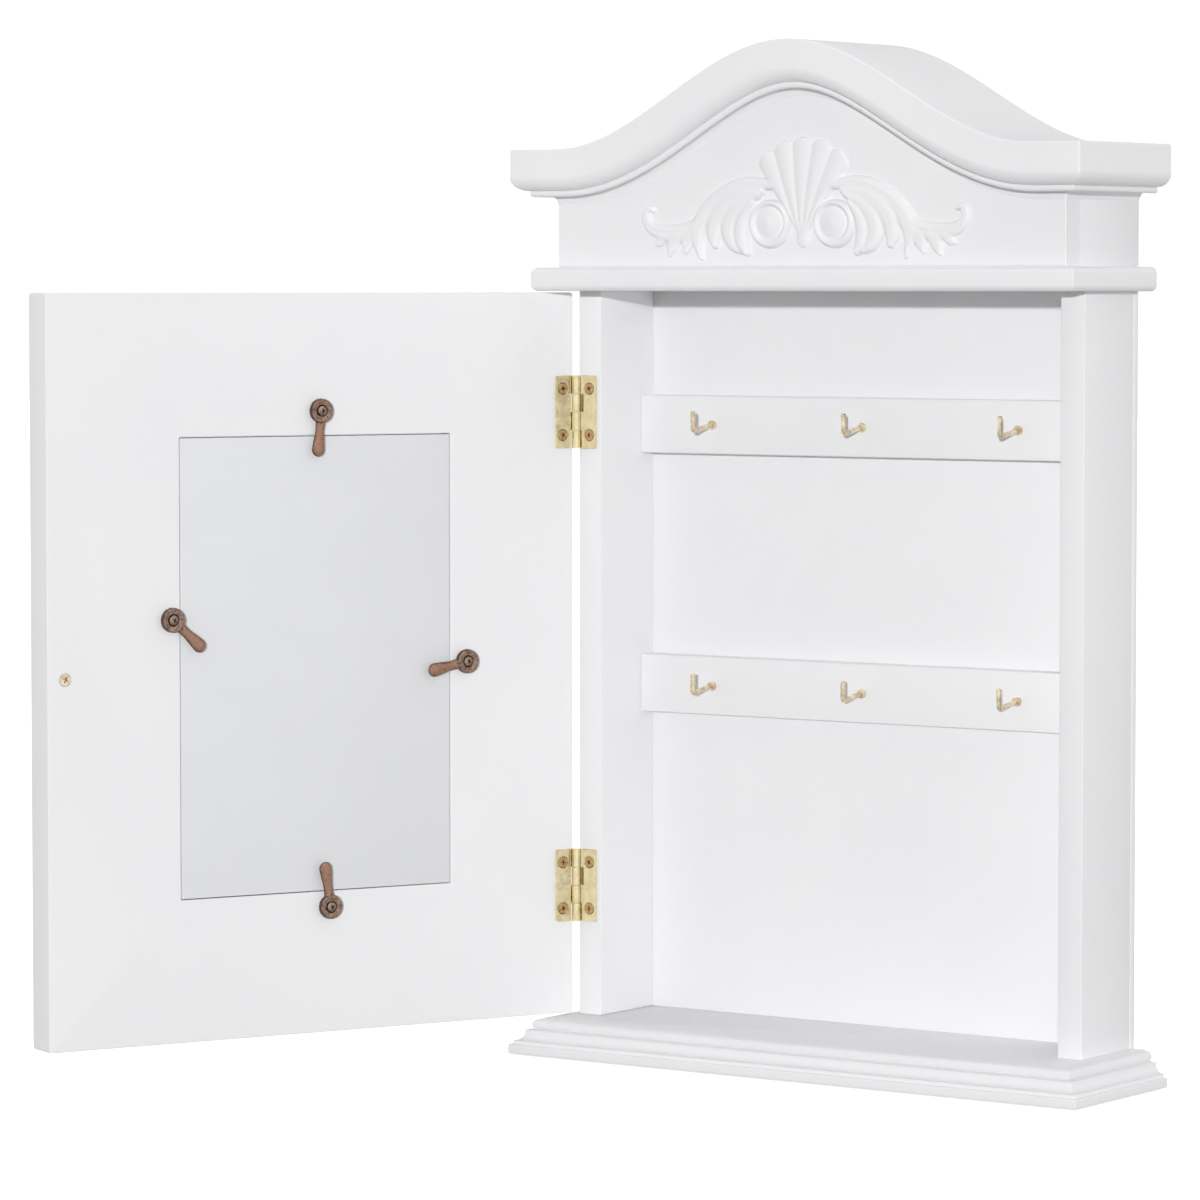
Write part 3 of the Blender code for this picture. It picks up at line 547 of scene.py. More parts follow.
rails = {}
for level in ("upper", "lower"):
    low, high = span(f"{level}_hook_rail")
    high.y = span("back_panel")[0].y
    low.x, high.x = span("left_side_panel")[1].x, span("right_side_panel")[0].x
    rails[level] = (low, (low.z + high.z) / 2)
    rail = solid(f"{level}_rail", eased_box(low, high, RAIL_EASE), white)
    settle(rail, "cabinet", "white_paint", f"{level}_hook_rail")


# ------------------------------------------------------------------ square hooks
# Square screw hooks of brass-plated wire: a small collar bears on the rail, the arm
# droops a little on its way out and turns up at a tight bend, and its cut end is
# slightly domed.

HOOK_WIRE_R = 0.85
HOOK_BEND_R = 1.0
HOOK_COLLAR_T = 1.15


def rod(points, radii, sides=24, across=Vector((1, 0, 0))):
    """A round rod through points that lie in one plane square to across."""
    bm = bmesh.new()
    rings = []
    for i, point in enumerate(points):
        ahead = points[min(i + 1, len(points) - 1)] - points[max(i - 1, 0)]
        other = ahead.normalized().cross(across)
        turns = [math.tau * k / sides for k in range(sides)]
        ring = [point + (across * math.cos(t) + other * math.sin(t)) * radii[i] for t in turns]
        rings.append([bm.verts.new(p) for p in ring])
    skin(bm, rings)
    return bm


def turned(outline, sides=40, place=Matrix.Identity(4)):
    """A turned shape: radius and height pairs, spun about Z, then put in place."""
    bm = bmesh.new()
    rings = []
    for radius, height in outline:
        steps = [math.tau * i / sides for i in range(sides)]
        reach = max(radius, 0.01)
        ring = [(reach * math.cos(a), reach * math.sin(a), height) for a in steps]
        rings.append([bm.verts.new(p) for p in ring])
    skin(bm, rings)
    bmesh.ops.transform(bm, matrix=place, verts=bm.verts)
    return bm


def facing(direction):
    """Turns +Z to the given direction."""
    return Vector(direction).to_track_quat("Z", "Y").to_matrix().to_4x4()


def work(piece, operation, *tools):
    """Joins tool shapes to a piece or cuts them from it, and clears them away.

    Any other modifier on the piece is applied too.
    """
    for tool in tools:
        cut = piece.modifiers.new("tool", "BOOLEAN")
        cut.operation = operation
        cut.solver = "EXACT"
        cut.object = tool
    bpy.context.view_layer.update()
    graph = bpy.context.evaluated_depsgraph_get()
    made = bpy.data.meshes.new_from_object(piece.evaluated_get(graph))
    piece.modifiers.clear()
    piece.data = made
    for tool in tools:
        bpy.data.objects.remove(tool)
    return piece


pale_brass = finish(
    "pale_brass_plate",
    (0.93, 0.84, 0.62),
    (0.62, 0.48, 0.32),
    2.5,
    (0.20, 0.34),
    0.35,
    0.006,
    metallic=1.0,
)

for level in ("upper", "lower"):
    for place in ("left", "middle", "right"):
        low, high = span(f"{level}_hook_{place}")
        x = (low.x + high.x) / 2
        rail_y = rails[level][0].y
        out_y = low.y + HOOK_WIRE_R
        z = rails[level][1]
        corner = low.z + HOOK_WIRE_R + HOOK_BEND_R
        bend = bow((out_y + HOOK_BEND_R, corner), HOOK_BEND_R, 270, 180, 10)
        path = [Vector((x, rail_y + 5.0, z)), Vector((x, rail_y - HOOK_COLLAR_T, z))]
        path += [Vector((x, y, bend_z)) for y, bend_z in bend]
        path += [Vector((x, out_y, high.z - down)) for down in (0.7, 0.3, 0.1, 0.0)]
        radii = [HOOK_WIRE_R] * (len(path) - 3) + [HOOK_WIRE_R * s for s in (0.9, 0.7, 0.35)]
        name = f"{level}_{place}_square_hook"
        hook = solid(name, rod(path, radii), pale_brass, crease=50)
        shoulder = bow((1.15, 0.7), 0.45, 0, 90, 5)
        outline = [(0.4, 0.0), (1.6, 0.0), *shoulder, (0.4, HOOK_COLLAR_T)]
        seat = Matrix.Translation((x, rail_y, z)) @ facing((0, -1, 0))
        collar = solid("collar", turned(outline, 32, seat), pale_brass)
        work(hook, "UNION", collar)
        shade(hook.data, 50)
        settle(hook, "cabinet", "brass", f"{level}_hook_{place}")


# ------------------------------------------------------------------ door
# The door is one fibreboard panel, routed through for the picture window. On the front
# the window has an ovolo and the outer arris is rounded; on the inside a rebate takes
# the glass, the picture and the backing board flush.

DOOR_BACK_EASE = 0.4
DOOR_FRONT_EASE = 2.0
OVOLO = 3.4
REBATE_CLEAR = 0.3
SIGHT_IN = 5.0
FRONT_FILLET = 0.7
KNOB_SINK_R = 2.3
KNOB_BORE_R = 1.2

hinge = next(j for j in frame["joints"] if j["name"] == "door_hinge")
pin = Vector(hinge["pos_m"])
door_axes = Matrix.Translation(pin) @ Matrix.Rotation(math.radians(hinge["range_deg"][0]), 4, "Z")
door_low, door_high = span("door_panel", door_axes)
board_low, board_high = span("backing_board", door_axes)
pane_low = span("glass_pane", door_axes)[0]
door_mid = (door_low.x + door_high.x) / 2


def rectangle(half_w, half_h, soft, y, steps=4):
    """A rectangle with softened corners about the middle of the door."""
    ring = []
    for sx, sz, start in ((1, 1, 0), (-1, 1, 90), (-1, -1, 180), (1, -1, 270)):
        middle = (door_mid + sx * (half_w - soft), sz * (half_h - soft))
        ring += bow(middle, soft, start, start + 90, steps)
    return [(x, y, z) for x, z in ring]


half_w, half_h = (door_high.x - door_low.x) / 2, (door_high.z - door_low.z) / 2
sight_w = (board_high.x - board_low.x) / 2 - SIGHT_IN
sight_h = (board_high.z - board_low.z) / 2 - SIGHT_IN
rebate_w, rebate_h = sight_w + SIGHT_IN + REBATE_CLEAR, sight_h + SIGHT_IN + REBATE_CLEAR
inside, outside = door_high.y, door_low.y
seat_y = pane_low.y - REBATE_CLEAR
cuts = [rectangle(rebate_w + 0.3, rebate_h + 0.3, 0.5, inside)]
for out, y in bow((0, -DOOR_BACK_EASE), DOOR_BACK_EASE, 90, 0, 4):
    grow = out - DOOR_BACK_EASE
    cuts.append(rectangle(half_w + grow, half_h + grow, 1.0, inside + y))
for out, y in bow((0, DOOR_FRONT_EASE), DOOR_FRONT_EASE, 0, -90, 8):
    grow = out - DOOR_FRONT_EASE
    cuts.append(rectangle(half_w + grow, half_h + grow, 1.0, outside + y))
cuts.append(rectangle(sight_w + OVOLO + 1.2, sight_h + OVOLO + 1.2, 0.6, outside))
cuts.append(rectangle(sight_w + OVOLO + 1.1, sight_h + OVOLO + 1.1, 0.6, outside + FRONT_FILLET))
for out, y in bow((0, OVOLO + FRONT_FILLET), OVOLO, -90, -180, 8):
    cuts.append(rectangle(sight_w + OVOLO + out, sight_h + OVOLO + out, 0.5, outside + y))
cuts.append(rectangle(sight_w, sight_h, 0.5, seat_y))
cuts.append(rectangle(rebate_w, rebate_h, 0.5, seat_y))
cuts.append(rectangle(rebate_w, rebate_h, 0.5, inside - 0.3))
bm = bmesh.new()
rings = [[bm.verts.new(p) for p in cut] for cut in cuts]
skin(bm, rings + rings[:1], closed_ends=False)
panel = solid("routed_door", bm, white, door_axes, crease=35)
low, high = span("door_knob_screw", door_axes)
bore = Matrix.Translation(((low.x + high.x) / 2, inside, (low.z + high.z) / 2))
outline = [(KNOB_SINK_R, -0.5), (KNOB_SINK_R, 0.1), (KNOB_BORE_R, 1.3)]
outline.append((KNOB_BORE_R, inside - outside - 1.0))
sink = turned(outline, 40, bore @ facing((0, -1, 0)))
work(panel, "DIFFERENCE", solid("sink", sink, white, door_axes))
shade(panel.data, 35)
settle(panel, "door", "white_paint", "door_panel")


# ------------------------------------------------------------------ window layers
# The rebate holds a pane of clear float glass with ground edges, a blank card where the
# owner's picture goes, and a pale grey fibreboard back that the buttons press on.

glass = finish("float_glass", (0.97, 0.99, 0.98), (0.95, 0.98, 0.97), 40, (0.0, 0.03), 30, 0.0)
clear = glass.node_tree.nodes["Principled BSDF"].inputs
clear["Transmission Weight"].default_value = 1.0
clear["IOR"].default_value = 1.5
card = finish("blank_card", (0.80, 0.78, 0.72), (0.76, 0.74, 0.68), 6, (0.7, 0.85), 0.25, 0.02)
fibre = finish(
    "grey_fibreboard", (0.755, 0.759, 0.775), (0.742, 0.746, 0.762), 30, (0.5, 0.65), 0.5, 0.02
)
layers = (
    ("clear_pane", "glass_pane", "window_glass", glass, 0.25),
    ("blank_picture", "picture_card", "picture_card", card, 0.08),
    ("pale_backing", "backing_board", "backing_board", fibre, 0.2),
)
for name, node, slot, coat, ease in layers:
    low, high = span(node, door_axes)
    layer = solid(name, eased_box(low, high, ease, 2), coat, door_axes)
    settle(layer, "door", slot, node)


# ------------------------------------------------------------------ butt hinges
# Two small butt hinges of pressed brass. Each leaf is a stamped plate whose tongues are
# rolled round the pin, two for each leaf, and is held by two countersunk screws. The
# plating is polished and lacquered and has gone a little uneven.

LEAF_CORNER = 0.5
LEAF_BREAK = 0.1
KNUCKLE_GAP = 0.14
BORE_R = 0.75
ROLL_END_DEG = 372
LEAF_T = 0.8
NOTCH = 0.45

yellow_brass = finish(
    "polished_brass_plate",
    (0.97, 0.86, 0.55),
    (0.83, 0.70, 0.40),
    3.0,
    (0.20, 0.36),
    0.6,
    0.008,
    metallic=1.0,
)
countersink = [(2.15, -0.5), (2.15, 0.12), (1.15, 0.95), (1.15, 4.0)]
hinge_axes = {"frame": Matrix.Translation(pin), "door": door_axes}


def break_edges(bm, width):
    """Takes the burr off the edges of both faces of a stamped plate."""
    edges = [e for e in bm.edges if any(len(f.verts) > 4 for f in e.link_faces)]
    bmesh.ops.bevel(bm, geom=edges, offset=width, segments=2, affect="EDGES")


def rounded_plate(x0, x1, z0, z1, near, far):
    """A stamped plate with rounded outer corners and a broken edge."""
    c = LEAF_CORNER
    outline = [(x0, z0), *bow((x1 - c, z0 + c), c, -90, 0, 5)]
    outline += [*bow((x1 - c, z1 - c), c, 0, 90, 5), (x0, z1)]
    bm = extruded(outline, near, far)
    break_edges(bm, LEAF_BREAK)
    return bm


def rolled(side, outer, z0, z1):
    """A tongue of the leaf rolled round the pin, cut square at both ends."""
    inner = outer - LEAF_T
    curl = bow((0, 0), outer, 90, ROLL_END_DEG, 40) + bow((0, 0), BORE_R, ROLL_END_DEG, 90, 36)
    tail = outer + NOTCH + 0.6
    section = [(tail, outer), *curl, (0.35, inner), (tail, inner)]
    bm = bmesh.new()
    rings = []
    for z, shrink in ((z0, 0.06), (z0 + 0.08, 0), (z1 - 0.08, 0), (z1, 0.06)):
        ring = []
        for x, y in section:
            r = math.hypot(x, y)
            scale = 1 - shrink / r if r > (outer + BORE_R) / 2 and x < 1.6 else 1
            ring.append(bm.verts.new((x * scale, side * y * scale, z)))
        rings.append(ring)
    skin(bm, rings)
    return bm


for level in ("upper", "lower"):
    for owner, side in (("frame", 1), ("door", -1)):
        node = f"{level}_hinge_{owner}_leaf"
        axes = hinge_axes[owner]
        low, high = span(node, axes)
        outer = -low.x
        near, far = sorted((side * (outer - LEAF_T), side * outer))
        name = f"{level}_hinge_leaf_on_{owner}"
        z_low, z_high = span(f"{level}_hinge_pin", hinge_axes["frame"])
        bottom, height = z_low.z, z_high.z - z_low.z
        plate = rounded_plate(outer + NOTCH, high.x, bottom, bottom + height, near, far)
        leaf = solid(name, plate, yellow_brass, axes)
        pitch = height / 4
        tongues = []
        for k in (0, 2) if owner == "frame" else (1, 3):
            z0 = bottom + pitch * k + (KNUCKLE_GAP / 2 if k else 0.0)
            z1 = bottom + pitch * (k + 1) - (KNUCKLE_GAP / 2 if k < 3 else 0.0)
            tongues.append(solid("tongue", rolled(side, outer, z0, z1), yellow_brass, axes))
        work(leaf, "UNION", *tongues)
        sinks = []
        for place in ("top", "bottom"):
            screw_low, screw_high = span(f"{level}_hinge_{owner}_screw_{place}", axes)
            middle = (screw_low + screw_high) / 2
            face = Vector((middle.x, side * (outer - LEAF_T), middle.z))
            place_at = Matrix.Translation(face) @ facing((0, side, 0))
            sinks.append(solid("sink", turned(countersink, 40, place_at), yellow_brass, axes))
        work(leaf, "DIFFERENCE", *sinks)
        shade(leaf.data, 35)
        settle(leaf, owner.replace("frame", "cabinet"), "brass", node)

    low, high = span(f"{level}_hinge_pin", hinge_axes["frame"])
    pin_r = high.x
    outline = [(0.0, low.z), (pin_r * 0.6, low.z + 0.03), (pin_r, low.z + 0.25)]
    outline += [(pin_r, high.z - 0.25), (pin_r * 0.6, high.z - 0.03), (0.0, high.z)]
    pin_piece = solid(f"{level}_hinge_wire", turned(outline, 28), yellow_brass, hinge_axes["frame"])
    settle(pin_piece, "cabinet", "brass", f"{level}_hinge_pin")


# ------------------------------------------------------------------ countersunk screws
# Small wood screws with a countersunk head and a pressed cross recess, driven by hand,
# so that no two crosses stand alike. Those in the hinges and the knob are brass, and
# those in the hanger plates are zinc plated.

HINGE_SCREW_R = 1.9
SCREW_WIRE_R = 0.85
CROSS_SHARE = 0.62

screw_brass = finish(
    "screw_brass", (0.72, 0.50, 0.24), (0.45, 0.28, 0.12), 1.2, (0.25, 0.42), 0.3, 0.01, 1.0
)


def cross_recess(screw, reach, coat, place):
    """Presses the tapered cross of the driver into a screw's head."""
    arms = []
    for spin in (0, 90):
        bm = bmesh.new()
        rings = []
        for z, half, wide in ((-0.6, reach, 0.26), (1.0, reach / 3, 0.14)):
            corners = [(half, wide), (-half, wide), (-half, -wide), (half, -wide)]
            rings.append([bm.verts.new((x, y, z)) for x, y in corners])
        skin(bm, rings)
        turn = Matrix.Rotation(math.radians(spin), 3, "Z")
        bmesh.ops.rotate(bm, verts=bm.verts, matrix=turn)
        arms.append(solid("arm", bm, coat, place))
    work(screw, "DIFFERENCE", *arms)
    shade(screw.data, 30)


twists = iter(np.random.default_rng(7).uniform(0, 90, 20).tolist())


def wood_screw(name, node, head_r, coat, axes, side):
    """A countersunk screw where its part stands, driven to side along Y."""
    low, high = span(node, axes)
    at = (low + high) / 2
    at.y = low.y if side > 0 else high.y
    length = high.y - low.y
    outline = [(0.0, -0.02), (head_r - 0.12, 0.0), (head_r, 0.1), (head_r, 0.18)]
    outline += [(SCREW_WIRE_R, 0.98), (SCREW_WIRE_R, length - 1.2), (0.1, length)]
    own = axes @ Matrix.Diagonal((MM, MM, MM, 1)) @ Matrix.Translation(at) @ facing((0, side, 0))
    place = Matrix.Translation(own.translation) @ own.to_3x3().normalized().to_4x4()
    place = place @ Matrix.Rotation(math.radians(next(twists)), 4, "Z")
    screw = solid(name, turned(outline, 40), coat, place)
    cross_recess(screw, head_r * CROSS_SHARE, coat, place)
    return screw


for level in ("upper", "lower"):
    for owner, side in (("frame", 1), ("door", -1)):
        for place in ("top", "bottom"):
            node = f"{level}_hinge_{owner}_screw_{place}"
            name = f"{level}_{place}_screw_in_{owner}"
            screw = wood_screw(name, node, HINGE_SCREW_R, screw_brass, hinge_axes[owner], side)
            settle(screw, owner.replace("frame", "cabinet"), "brass", node)


# ------------------------------------------------------------------ turn buttons
# Four cast buttons hold the picture in. Each is a round, dished head with a teardrop
# finger, tumbled and given a bronze patina that has rubbed through to copper on the
# high places. Its sides, where they turn away from its face, are painted near black as
# painted shade. It turns on a small raised-head screw.

BUTTON_VOXEL = 0.13
HEAD_R = 4.2
FINGER_TIP_R = 2.35
LEAST_WEAR = 0.12

bronze_and_side_shade = finish(
    "rubbed_bronze_side_shaded", (0.40, 0.29, 0.22), (0.17, 0.105, 0.08), 0.9, (0.26, 0.42), 0.4, 0.015, 1.0
)
nodes, links = bronze_and_side_shade.node_tree.nodes, bronze_and_side_shade.node_tree.links
under = nodes["tones"].outputs["Color"]
# The first mark is painted shade: a near black brown on the sides that turn away from the face. The
# second is copper worn through on the high places.
for mark, tone in (("painted_side_shade", (0.075, 0.04, 0.035)), ("rubbed", (0.43, 0.225, 0.15))):
    where = nodes.new("ShaderNodeAttribute")
    where.attribute_name = mark
    over = nodes.new("ShaderNodeMix")
    over.data_type = "RGBA"
    over.inputs["B"].default_value = (*tone, 1)
    links.new(where.outputs["Fac"], over.inputs["Factor"])
    links.new(under, over.inputs["A"])
    under = over.outputs["Result"]
links.new(under, nodes["Principled BSDF"].inputs["Base Color"])


def rub_and_shade_sides(piece, low, high, out, grip=0.0):
    """Marks what stands out and faces out, where hands have worn through to the copper, and marks
    the sides that turn away from out for painted shade.

    grip is how far from the axis the fingers reach, in millimetres.
    """
    mesh = piece.data
    co = np.zeros(len(mesh.vertices) * 3)
    mesh.vertices.foreach_get("co", co)
    co = co.reshape(-1, 3)
    normals = np.zeros(len(mesh.vertices) * 3)
    mesh.vertices.foreach_get("normal", normals)
    ends = np.zeros(len(mesh.edges) * 2, np.int64)
    mesh.edges.foreach_get("vertices", ends)
    ends = ends.reshape(-1, 2)
    count = np.bincount(ends.ravel(), minlength=len(co))
    smooth = co.copy()
    for _ in range(14):
        total = np.zeros_like(co)
        np.add.at(total, ends[:, 0], smooth[ends[:, 1]])
        np.add.at(total, ends[:, 1], smooth[ends[:, 0]])
        smooth = total / np.maximum(count, 1)[:, None]
    normals = normals.reshape(-1, 3)
    stands = ((co - smooth) * normals).sum(1) / MM
    faces_out = np.clip(normals @ np.array(out), 0, 1)
    worn = np.clip((stands - low) / (high - low), 0, 1) * faces_out**5
    worn *= np.clip((np.linalg.norm(co, axis=1) / MM - grip) / 2.0, LEAST_WEAR, 1)
    # The second mark is painted shade: it darkens every face that turns away from out.
    for mark, share in (("rubbed", worn), ("painted_side_shade", 1 - faces_out**0.8)):
        values = mesh.attributes.new(mark, "FLOAT", "POINT")
        values.data.foreach_set("value", share.astype(np.float32))


button_mesh = None
for place in ("top", "bottom", "free_side", "hinge_side"):
    node = f"turn_button_{place}"
    low, high = span(node, door_axes)
    joint = next(j for j in frame["joints"] if j["child"] == f"{place}_turn_button")
    middle = door_axes.inverted() @ Vector(joint["pos_m"])
    points = [door_axes.inverted() @ v.co - middle for v in frame["nodes"][node].data.vertices]
    tip = max(points, key=lambda p: math.hypot(p.x, p.z))
    spin = Matrix.Rotation(-math.atan2(tip.z, tip.x), 4, "Y")
    under = low.y * MM
    axes = door_axes @ Matrix.Translation((middle.x, under, middle.z)) @ spin
    if button_mesh is None:
        reach = math.hypot(tip.x, tip.z) / MM
        thick = high.y - low.y
        head = [(0.0, 0.0), (HEAD_R - 0.6, 0.0), (HEAD_R - 0.1, 0.35), (HEAD_R, 0.8)]
        head += [(HEAD_R - 0.1, thick - 0.75), *bow((3.5, thick - 0.6), 0.6, 10, 120, 6)]
        head += [(2.7, thick - 0.2), (2.1, thick - 0.4), (1.7, thick - 0.85), (0.0, thick - 0.9)]
        button = solid("head", turned(head, 72, facing((0, 1, 0))), bronze_and_side_shade, axes)
        ball = reach - FINGER_TIP_R
        spots = [1.8, 3.6, 4.8, 5.8, 7.2, 9.2, 11.2, ball, ball + 0.9, ball + 1.6, ball + 2.1]
        spots.append(reach)
        widths = [1.9, 1.85, 1.75, 1.68, 1.7, 1.95, 2.2, FINGER_TIP_R, 2.18, 1.7, 1.05, 0.2]
        line = flowing([(s, w, 0) for s, w in zip(spots, widths)], 4)
        spine = [Vector((s, 0, 0)) for s in line[:, 0]]
        bm = rod(spine, line[:, 1].tolist(), 36, Vector((0, 0, 1)))
        for v in bm.verts:
            v.co.y = thick * 0.45 + v.co.y * (0.52 if v.co.y > 0 else 0.40)
        finger = solid("finger", bm, bronze_and_side_shade, axes)
        work(button, "UNION", finger)
        melt = button.modifiers.new("melt", "REMESH")
        melt.mode = "VOXEL"
        melt.voxel_size = BUTTON_VOXEL * MM
        melt.use_smooth_shade = True
        soft = button.modifiers.new("soft", "SMOOTH")
        soft.factor = 0.5
        soft.iterations = 5
        work(button, "UNION")
        # Marks the wear on the button and the painted shade on its sides.
        rub_and_shade_sides(button, -0.10, 0.05, (0, 1, 0), HEAD_R)
        button_mesh = button.data
        button.name = f"{place}_turn_button"
    else:
        button = bpy.data.objects.new(f"{place}_turn_button", button_mesh)
        bpy.context.scene.collection.objects.link(button)
        button.matrix_world = axes
    settle(button, f"{place}_turn_button", "bronze", node)

    node = f"turn_button_screw_{place}"
    low, high = span(node, door_axes)
    at = Vector((middle.x, high.y * MM, middle.z))
    place_axes = door_axes @ Matrix.Translation(at) @ facing((0, -1, 0))
    outline = [(0.0, 0.1), (0.8, 0.15), (1.35, 0.3), (1.65, 0.55), (1.6, 0.7), (0.9, 0.95)]
    outline += [(0.9, high.y - low.y - 1.2), (0.1, high.y - low.y)]
    spin = Matrix.Rotation(math.radians(next(twists)), 4, "Z")
    raised = solid(f"{place}_button_screw", turned(outline, 36), bronze_and_side_shade, place_axes @ spin)
    cross_recess(raised, 1.1, bronze_and_side_shade, place_axes @ spin)
    settle(raised, "door", "bronze", node)


# ------------------------------------------------------------------ knob
# A small turned knob of bronzed brass stands near the free edge of the door's front and
# is drawn up by a countersunk screw from the inside.

KNOB_SCREW_R = 2.1

low, high = span("door_knob", door_axes)
at = Matrix.Translation(Vector(((low.x + high.x) / 2, high.y, (low.z + high.z) / 2)) * MM)
knob_axes = door_axes @ at @ facing((0, -1, 0))
knob_r, knob_out = (high.x - low.x) / 2, high.y - low.y
outline = [(0.0, 0.0), (2.7, 0.0), (2.8, 0.15), (2.8, 0.45), (2.45, 0.75)]
outline += bow((3.1, 1.75), 1.0, 250, 150, 6)
outline += [(2.6, 2.5), (3.3, 2.75), *bow((knob_r - 0.6, 3.6), 0.6, -60, 60, 5)]
outline += [(3.2, 4.6), (2.6, 5.3), (1.7, 5.85), (0.8, 6.12), (0.0, knob_out)]
knob = solid("bronzed_knob", turned(outline, 56), bronze_and_side_shade, knob_axes)
# Marks the wear on the knob and the painted shade on its sides.
rub_and_shade_sides(knob, 0.0, 0.05, (0, 0, 1))
settle(knob, "door", "bronze", "door_knob")

screw = wood_screw("knob_screw", "door_knob_screw", KNOB_SCREW_R, pale_brass, door_axes, -1)
settle(screw, "door", "brass", "door_knob_screw")


# ------------------------------------------------------------------ wall fixing
# A rail is glued behind the frieze, between the cheeks. Two zinc-plated keyhole plates
# are let into it and screwed on, over pockets that clear the heads of the wall screws.

PLATE_CORNER = 2.0
PLATE_BREAK = 0.12
POCKET_CLEAR = 0.3
POCKET_OPEN_Y = 2.0
HANGER_SCREW_R = 1.6
KEYHOLE_R = 3.6
KEYHOLE_SLOT_R = 1.6

zinc = finish(
    "zinc_plate", (0.62, 0.63, 0.64), (0.50, 0.51, 0.53), 2.5, (0.28, 0.45), 0.4, 0.01, 1.0
)
low, high = span("hanging_rail")
low.x, high.x = span("left_side_panel")[1].x, span("right_side_panel")[0].x
hanging = solid("hanging_batten", eased_box(low, high, 0.4), white)
pockets = []
for side in ("left", "right"):
    low, high = span(f"hanger_plate_{side}")
    x, z = (low.x + high.x) / 2, (low.z + high.z) / 2
    clear = Vector((POCKET_CLEAR, POCKET_CLEAR, POCKET_CLEAR))
    high.y = POCKET_OPEN_Y - POCKET_CLEAR
    shallow = (low - clear, high + clear)
    deep = ((x - 4.2, -6.0, z - 5.0), (x + 4.2, POCKET_OPEN_Y, z + 5.0))
    pockets += [solid("pocket", eased_box(*ends, 0.1, 1), white) for ends in (shallow, deep)]
work(hanging, "DIFFERENCE", *pockets)
settle(hanging, "cabinet", "white_paint", "hanging_rail")

for side in ("left", "right"):
    low, high = span(f"hanger_plate_{side}")
    x, z = (low.x + high.x) / 2, (low.z + high.z) / 2
    c = PLATE_CORNER
    outline = bow((high.x - c, high.z - c), c, 0, 90, 6)
    outline += bow((low.x + c, high.z - c), c, 90, 180, 6)
    outline += bow((low.x + c, low.z + c), c, 180, 270, 6)
    outline += bow((high.x - c, low.z + c), c, 270, 360, 6)
    bm = extruded(outline, low.y, high.y)
    break_edges(bm, PLATE_BREAK)
    plate = solid(f"{side}_keyhole_plate", bm, zinc)
    keyhole = bow((x, z - 1.5), KEYHOLE_R, 116, 424, 40)
    keyhole += bow((x, z + 4.4 - KEYHOLE_SLOT_R), KEYHOLE_SLOT_R, 0, 180, 14)
    opening = solid("opening", extruded(keyhole, low.y - 2, high.y + 2), zinc)
    sinks = []
    for place in ("top", "bottom"):
        screw_low, screw_high = span(f"hanger_screw_{side}_{place}")
        at = Matrix.Translation((x, 0, (screw_low.z + screw_high.z) / 2)) @ facing((0, -1, 0))
        sink = [(1.85, -0.5), (1.85, 0.12), (1.15, 0.95), (1.15, 4.0)]
        sinks.append(solid("sink", turned(sink, 36, at), zinc))
    work(plate, "DIFFERENCE", opening, *sinks)
    shade(plate.data, 35)
    settle(plate, "cabinet", "steel", f"hanger_plate_{side}")
    for place in ("top", "bottom"):
        node = f"hanger_screw_{side}_{place}"
        name = f"{side}_{place}_hanger_screw"
        screw = wood_screw(name, node, HANGER_SCREW_R, zinc, Matrix.Identity(4), -1)
        settle(screw, "cabinet", "steel", node)


# ------------------------------------------------------------------ room
# A plain pale floor lies under the cabinet in a white room. One lamp stands beside the
# camera, a little higher, and the rest of the light comes evenly from all round.

FLOOR_DROP = 0.0005
KEY_AZIMUTH = 29.5
KEY_HEIGHT = 5.7
KEY_POWER = 2.0
FILL_AZIMUTH = 82.0
FILL_HEIGHT = 3.0
FILL_POWER = 0.4
LAMP_SPREAD = 1.5
FLOOR_HALF = 8.0
FLOOR_GLOW = 0.55
WHITE_ROOM = 1.05

bm = bmesh.new()
bmesh.ops.create_grid(bm, x_segments=1, y_segments=1, size=FLOOR_HALF)
ground = bpy.data.meshes.new("pale_floor")
bm.to_mesh(ground)
bm.free()
floor = bpy.data.objects.new("pale_floor", ground)
bpy.context.scene.collection.objects.link(floor)
floor.location.z = cad_low.z - FLOOR_DROP
pale = finish("pale_floor", (0.93, 0.93, 0.93), (0.92, 0.92, 0.92), 90, (0.6, 0.7), 4, 0.0)
glow = pale.node_tree.nodes["Principled BSDF"]
glow.inputs["Emission Color"].default_value = (1, 1, 1, 1)
glow.inputs["Emission Strength"].default_value = FLOOR_GLOW
ground.materials.append(pale)
floor.visible_diffuse = False
floor.visible_glossy = False
floor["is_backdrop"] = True


def lamp(name, azimuth, height, energy):
    """A distant lamp; azimuth runs from the front of the cabinet round to its right."""
    light = bpy.data.lights.new(name, "SUN")
    light.energy = energy
    light.angle = math.radians(LAMP_SPREAD)
    hung = bpy.data.objects.new(name, light)
    bpy.context.scene.collection.objects.link(hung)
    az, el = math.radians(azimuth), math.radians(height)
    source = Vector((math.sin(az) * math.cos(el), -math.cos(az) * math.cos(el), math.sin(el)))
    hung.rotation_mode = "QUATERNION"
    hung.rotation_quaternion = source.to_track_quat("Z", "Y")
    hung.visible_glossy = False
    return light


lamp("key_lamp", KEY_AZIMUTH, KEY_HEIGHT, KEY_POWER)
lamp("fill_lamp", FILL_AZIMUTH, FILL_HEIGHT, FILL_POWER).use_shadow = False

room = bpy.data.worlds.new("white_room")
bpy.context.scene.world = room
room.use_nodes = True
nodes, links = room.node_tree.nodes, room.node_tree.links


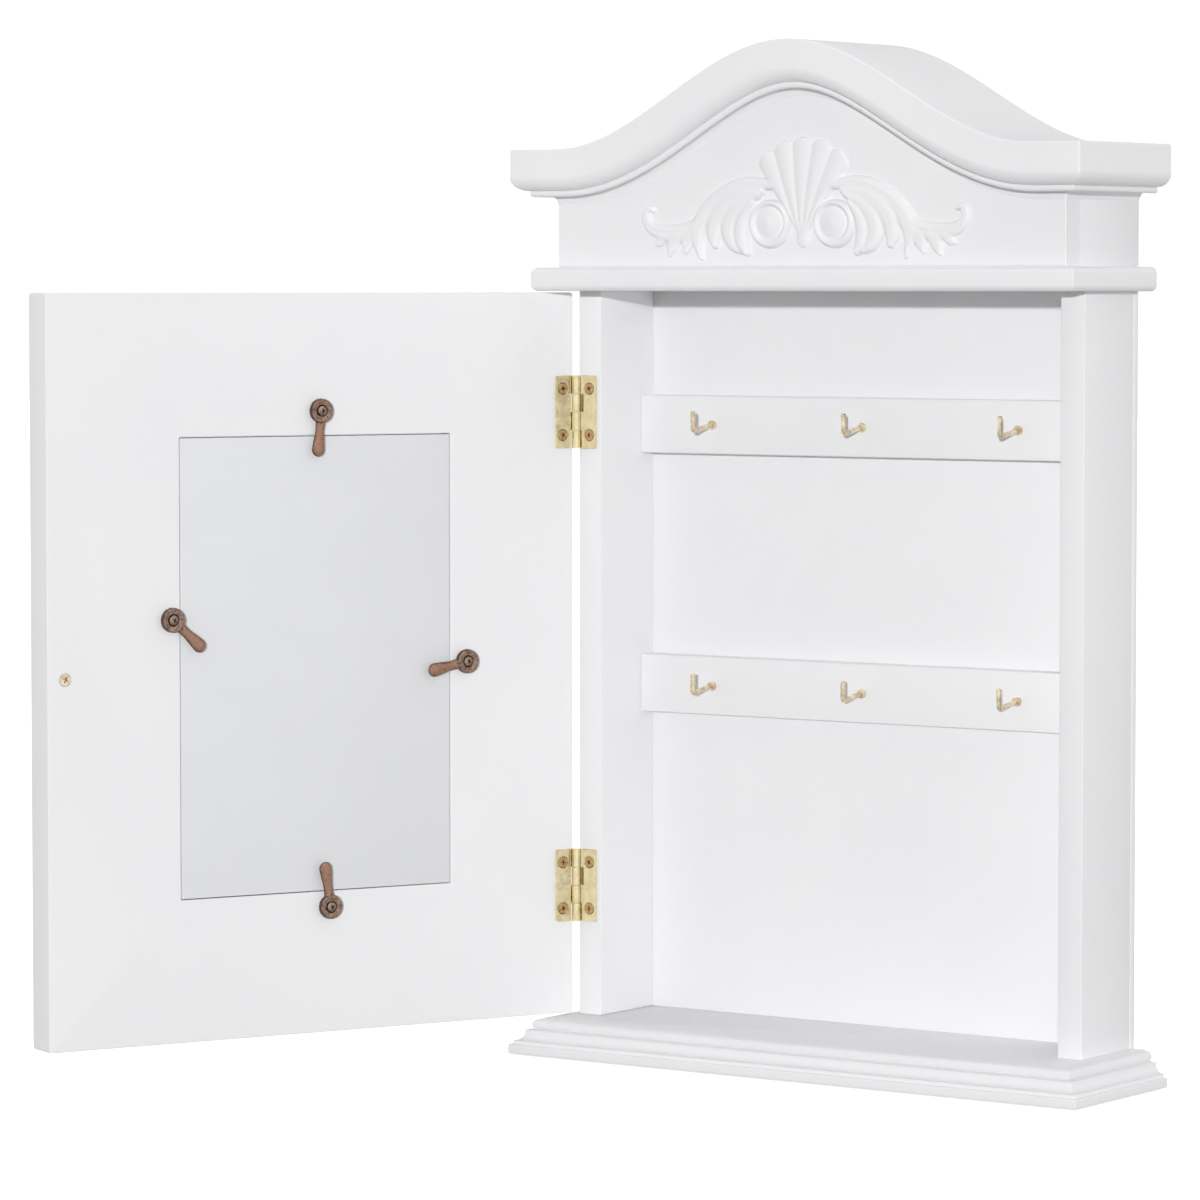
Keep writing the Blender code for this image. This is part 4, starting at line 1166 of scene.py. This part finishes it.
def lit_from(slope, middle):
    """A level of light that rises in one direction."""
    lean = nodes.new("ShaderNodeVectorMath")
    lean.operation = "DOT_PRODUCT"
    lean.inputs[1].default_value = slope
    links.new(way.outputs["Generated"], lean.inputs[0])
    level = nodes.new("ShaderNodeMath")
    level.inputs[1].default_value = middle
    links.new(lean.outputs["Value"], level.inputs[0])
    return level.outputs["Value"]


way = nodes.new("ShaderNodeTexCoord")
which = nodes.new("ShaderNodeLightPath")
sheen = nodes.new("ShaderNodeMix")
links.new(which.outputs["Is Glossy Ray"], sheen.inputs["Factor"])
links.new(lit_from((-0.28, 0.36, 0.15), 0.62), sheen.inputs["A"])
links.new(lit_from((0.16, -0.10, 0.34), 0.82), sheen.inputs["B"])
links.new(sheen.outputs["Result"], nodes["Background"].inputs["Strength"])
nodes["Background"].inputs["Color"].default_value = (0.99, 0.992, 1.0, 1)
seen = nodes.new("ShaderNodeBackground")
seen.inputs["Color"].default_value = (1, 1, 1, 1)
seen.inputs["Strength"].default_value = WHITE_ROOM
pick = nodes.new("ShaderNodeMixShader")
links.new(which.outputs["Is Camera Ray"], pick.inputs["Fac"])
links.new(nodes["Background"].outputs["Background"], pick.inputs[1])
links.new(seen.outputs["Background"], pick.inputs[2])
links.new(pick.outputs["Shader"], nodes["World Output"].inputs["Surface"])
bpy.context.scene.view_settings.view_transform = "Standard"

CAMERA_AT = (0.9826, -1.5658, 0.1270)
CAMERA_YAW = -35.05
CAMERA_PITCH = -3.31
CAMERA_LENS = 163.3

lens = bpy.data.cameras.new("camera")
lens.lens = CAMERA_LENS
lens.sensor_width = 36.0
camera = bpy.data.objects.new("camera", lens)
bpy.context.scene.collection.objects.link(camera)
yaw, pitch = math.radians(CAMERA_YAW), math.radians(CAMERA_PITCH)
look = Vector((math.sin(yaw) * math.cos(pitch), math.cos(yaw) * math.cos(pitch), math.sin(pitch)))
camera.location = CAMERA_AT
camera.rotation_mode = "QUATERNION"
camera.rotation_quaternion = look.to_track_quat("-Z", "Y")
bpy.context.scene.camera = camera

low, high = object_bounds()
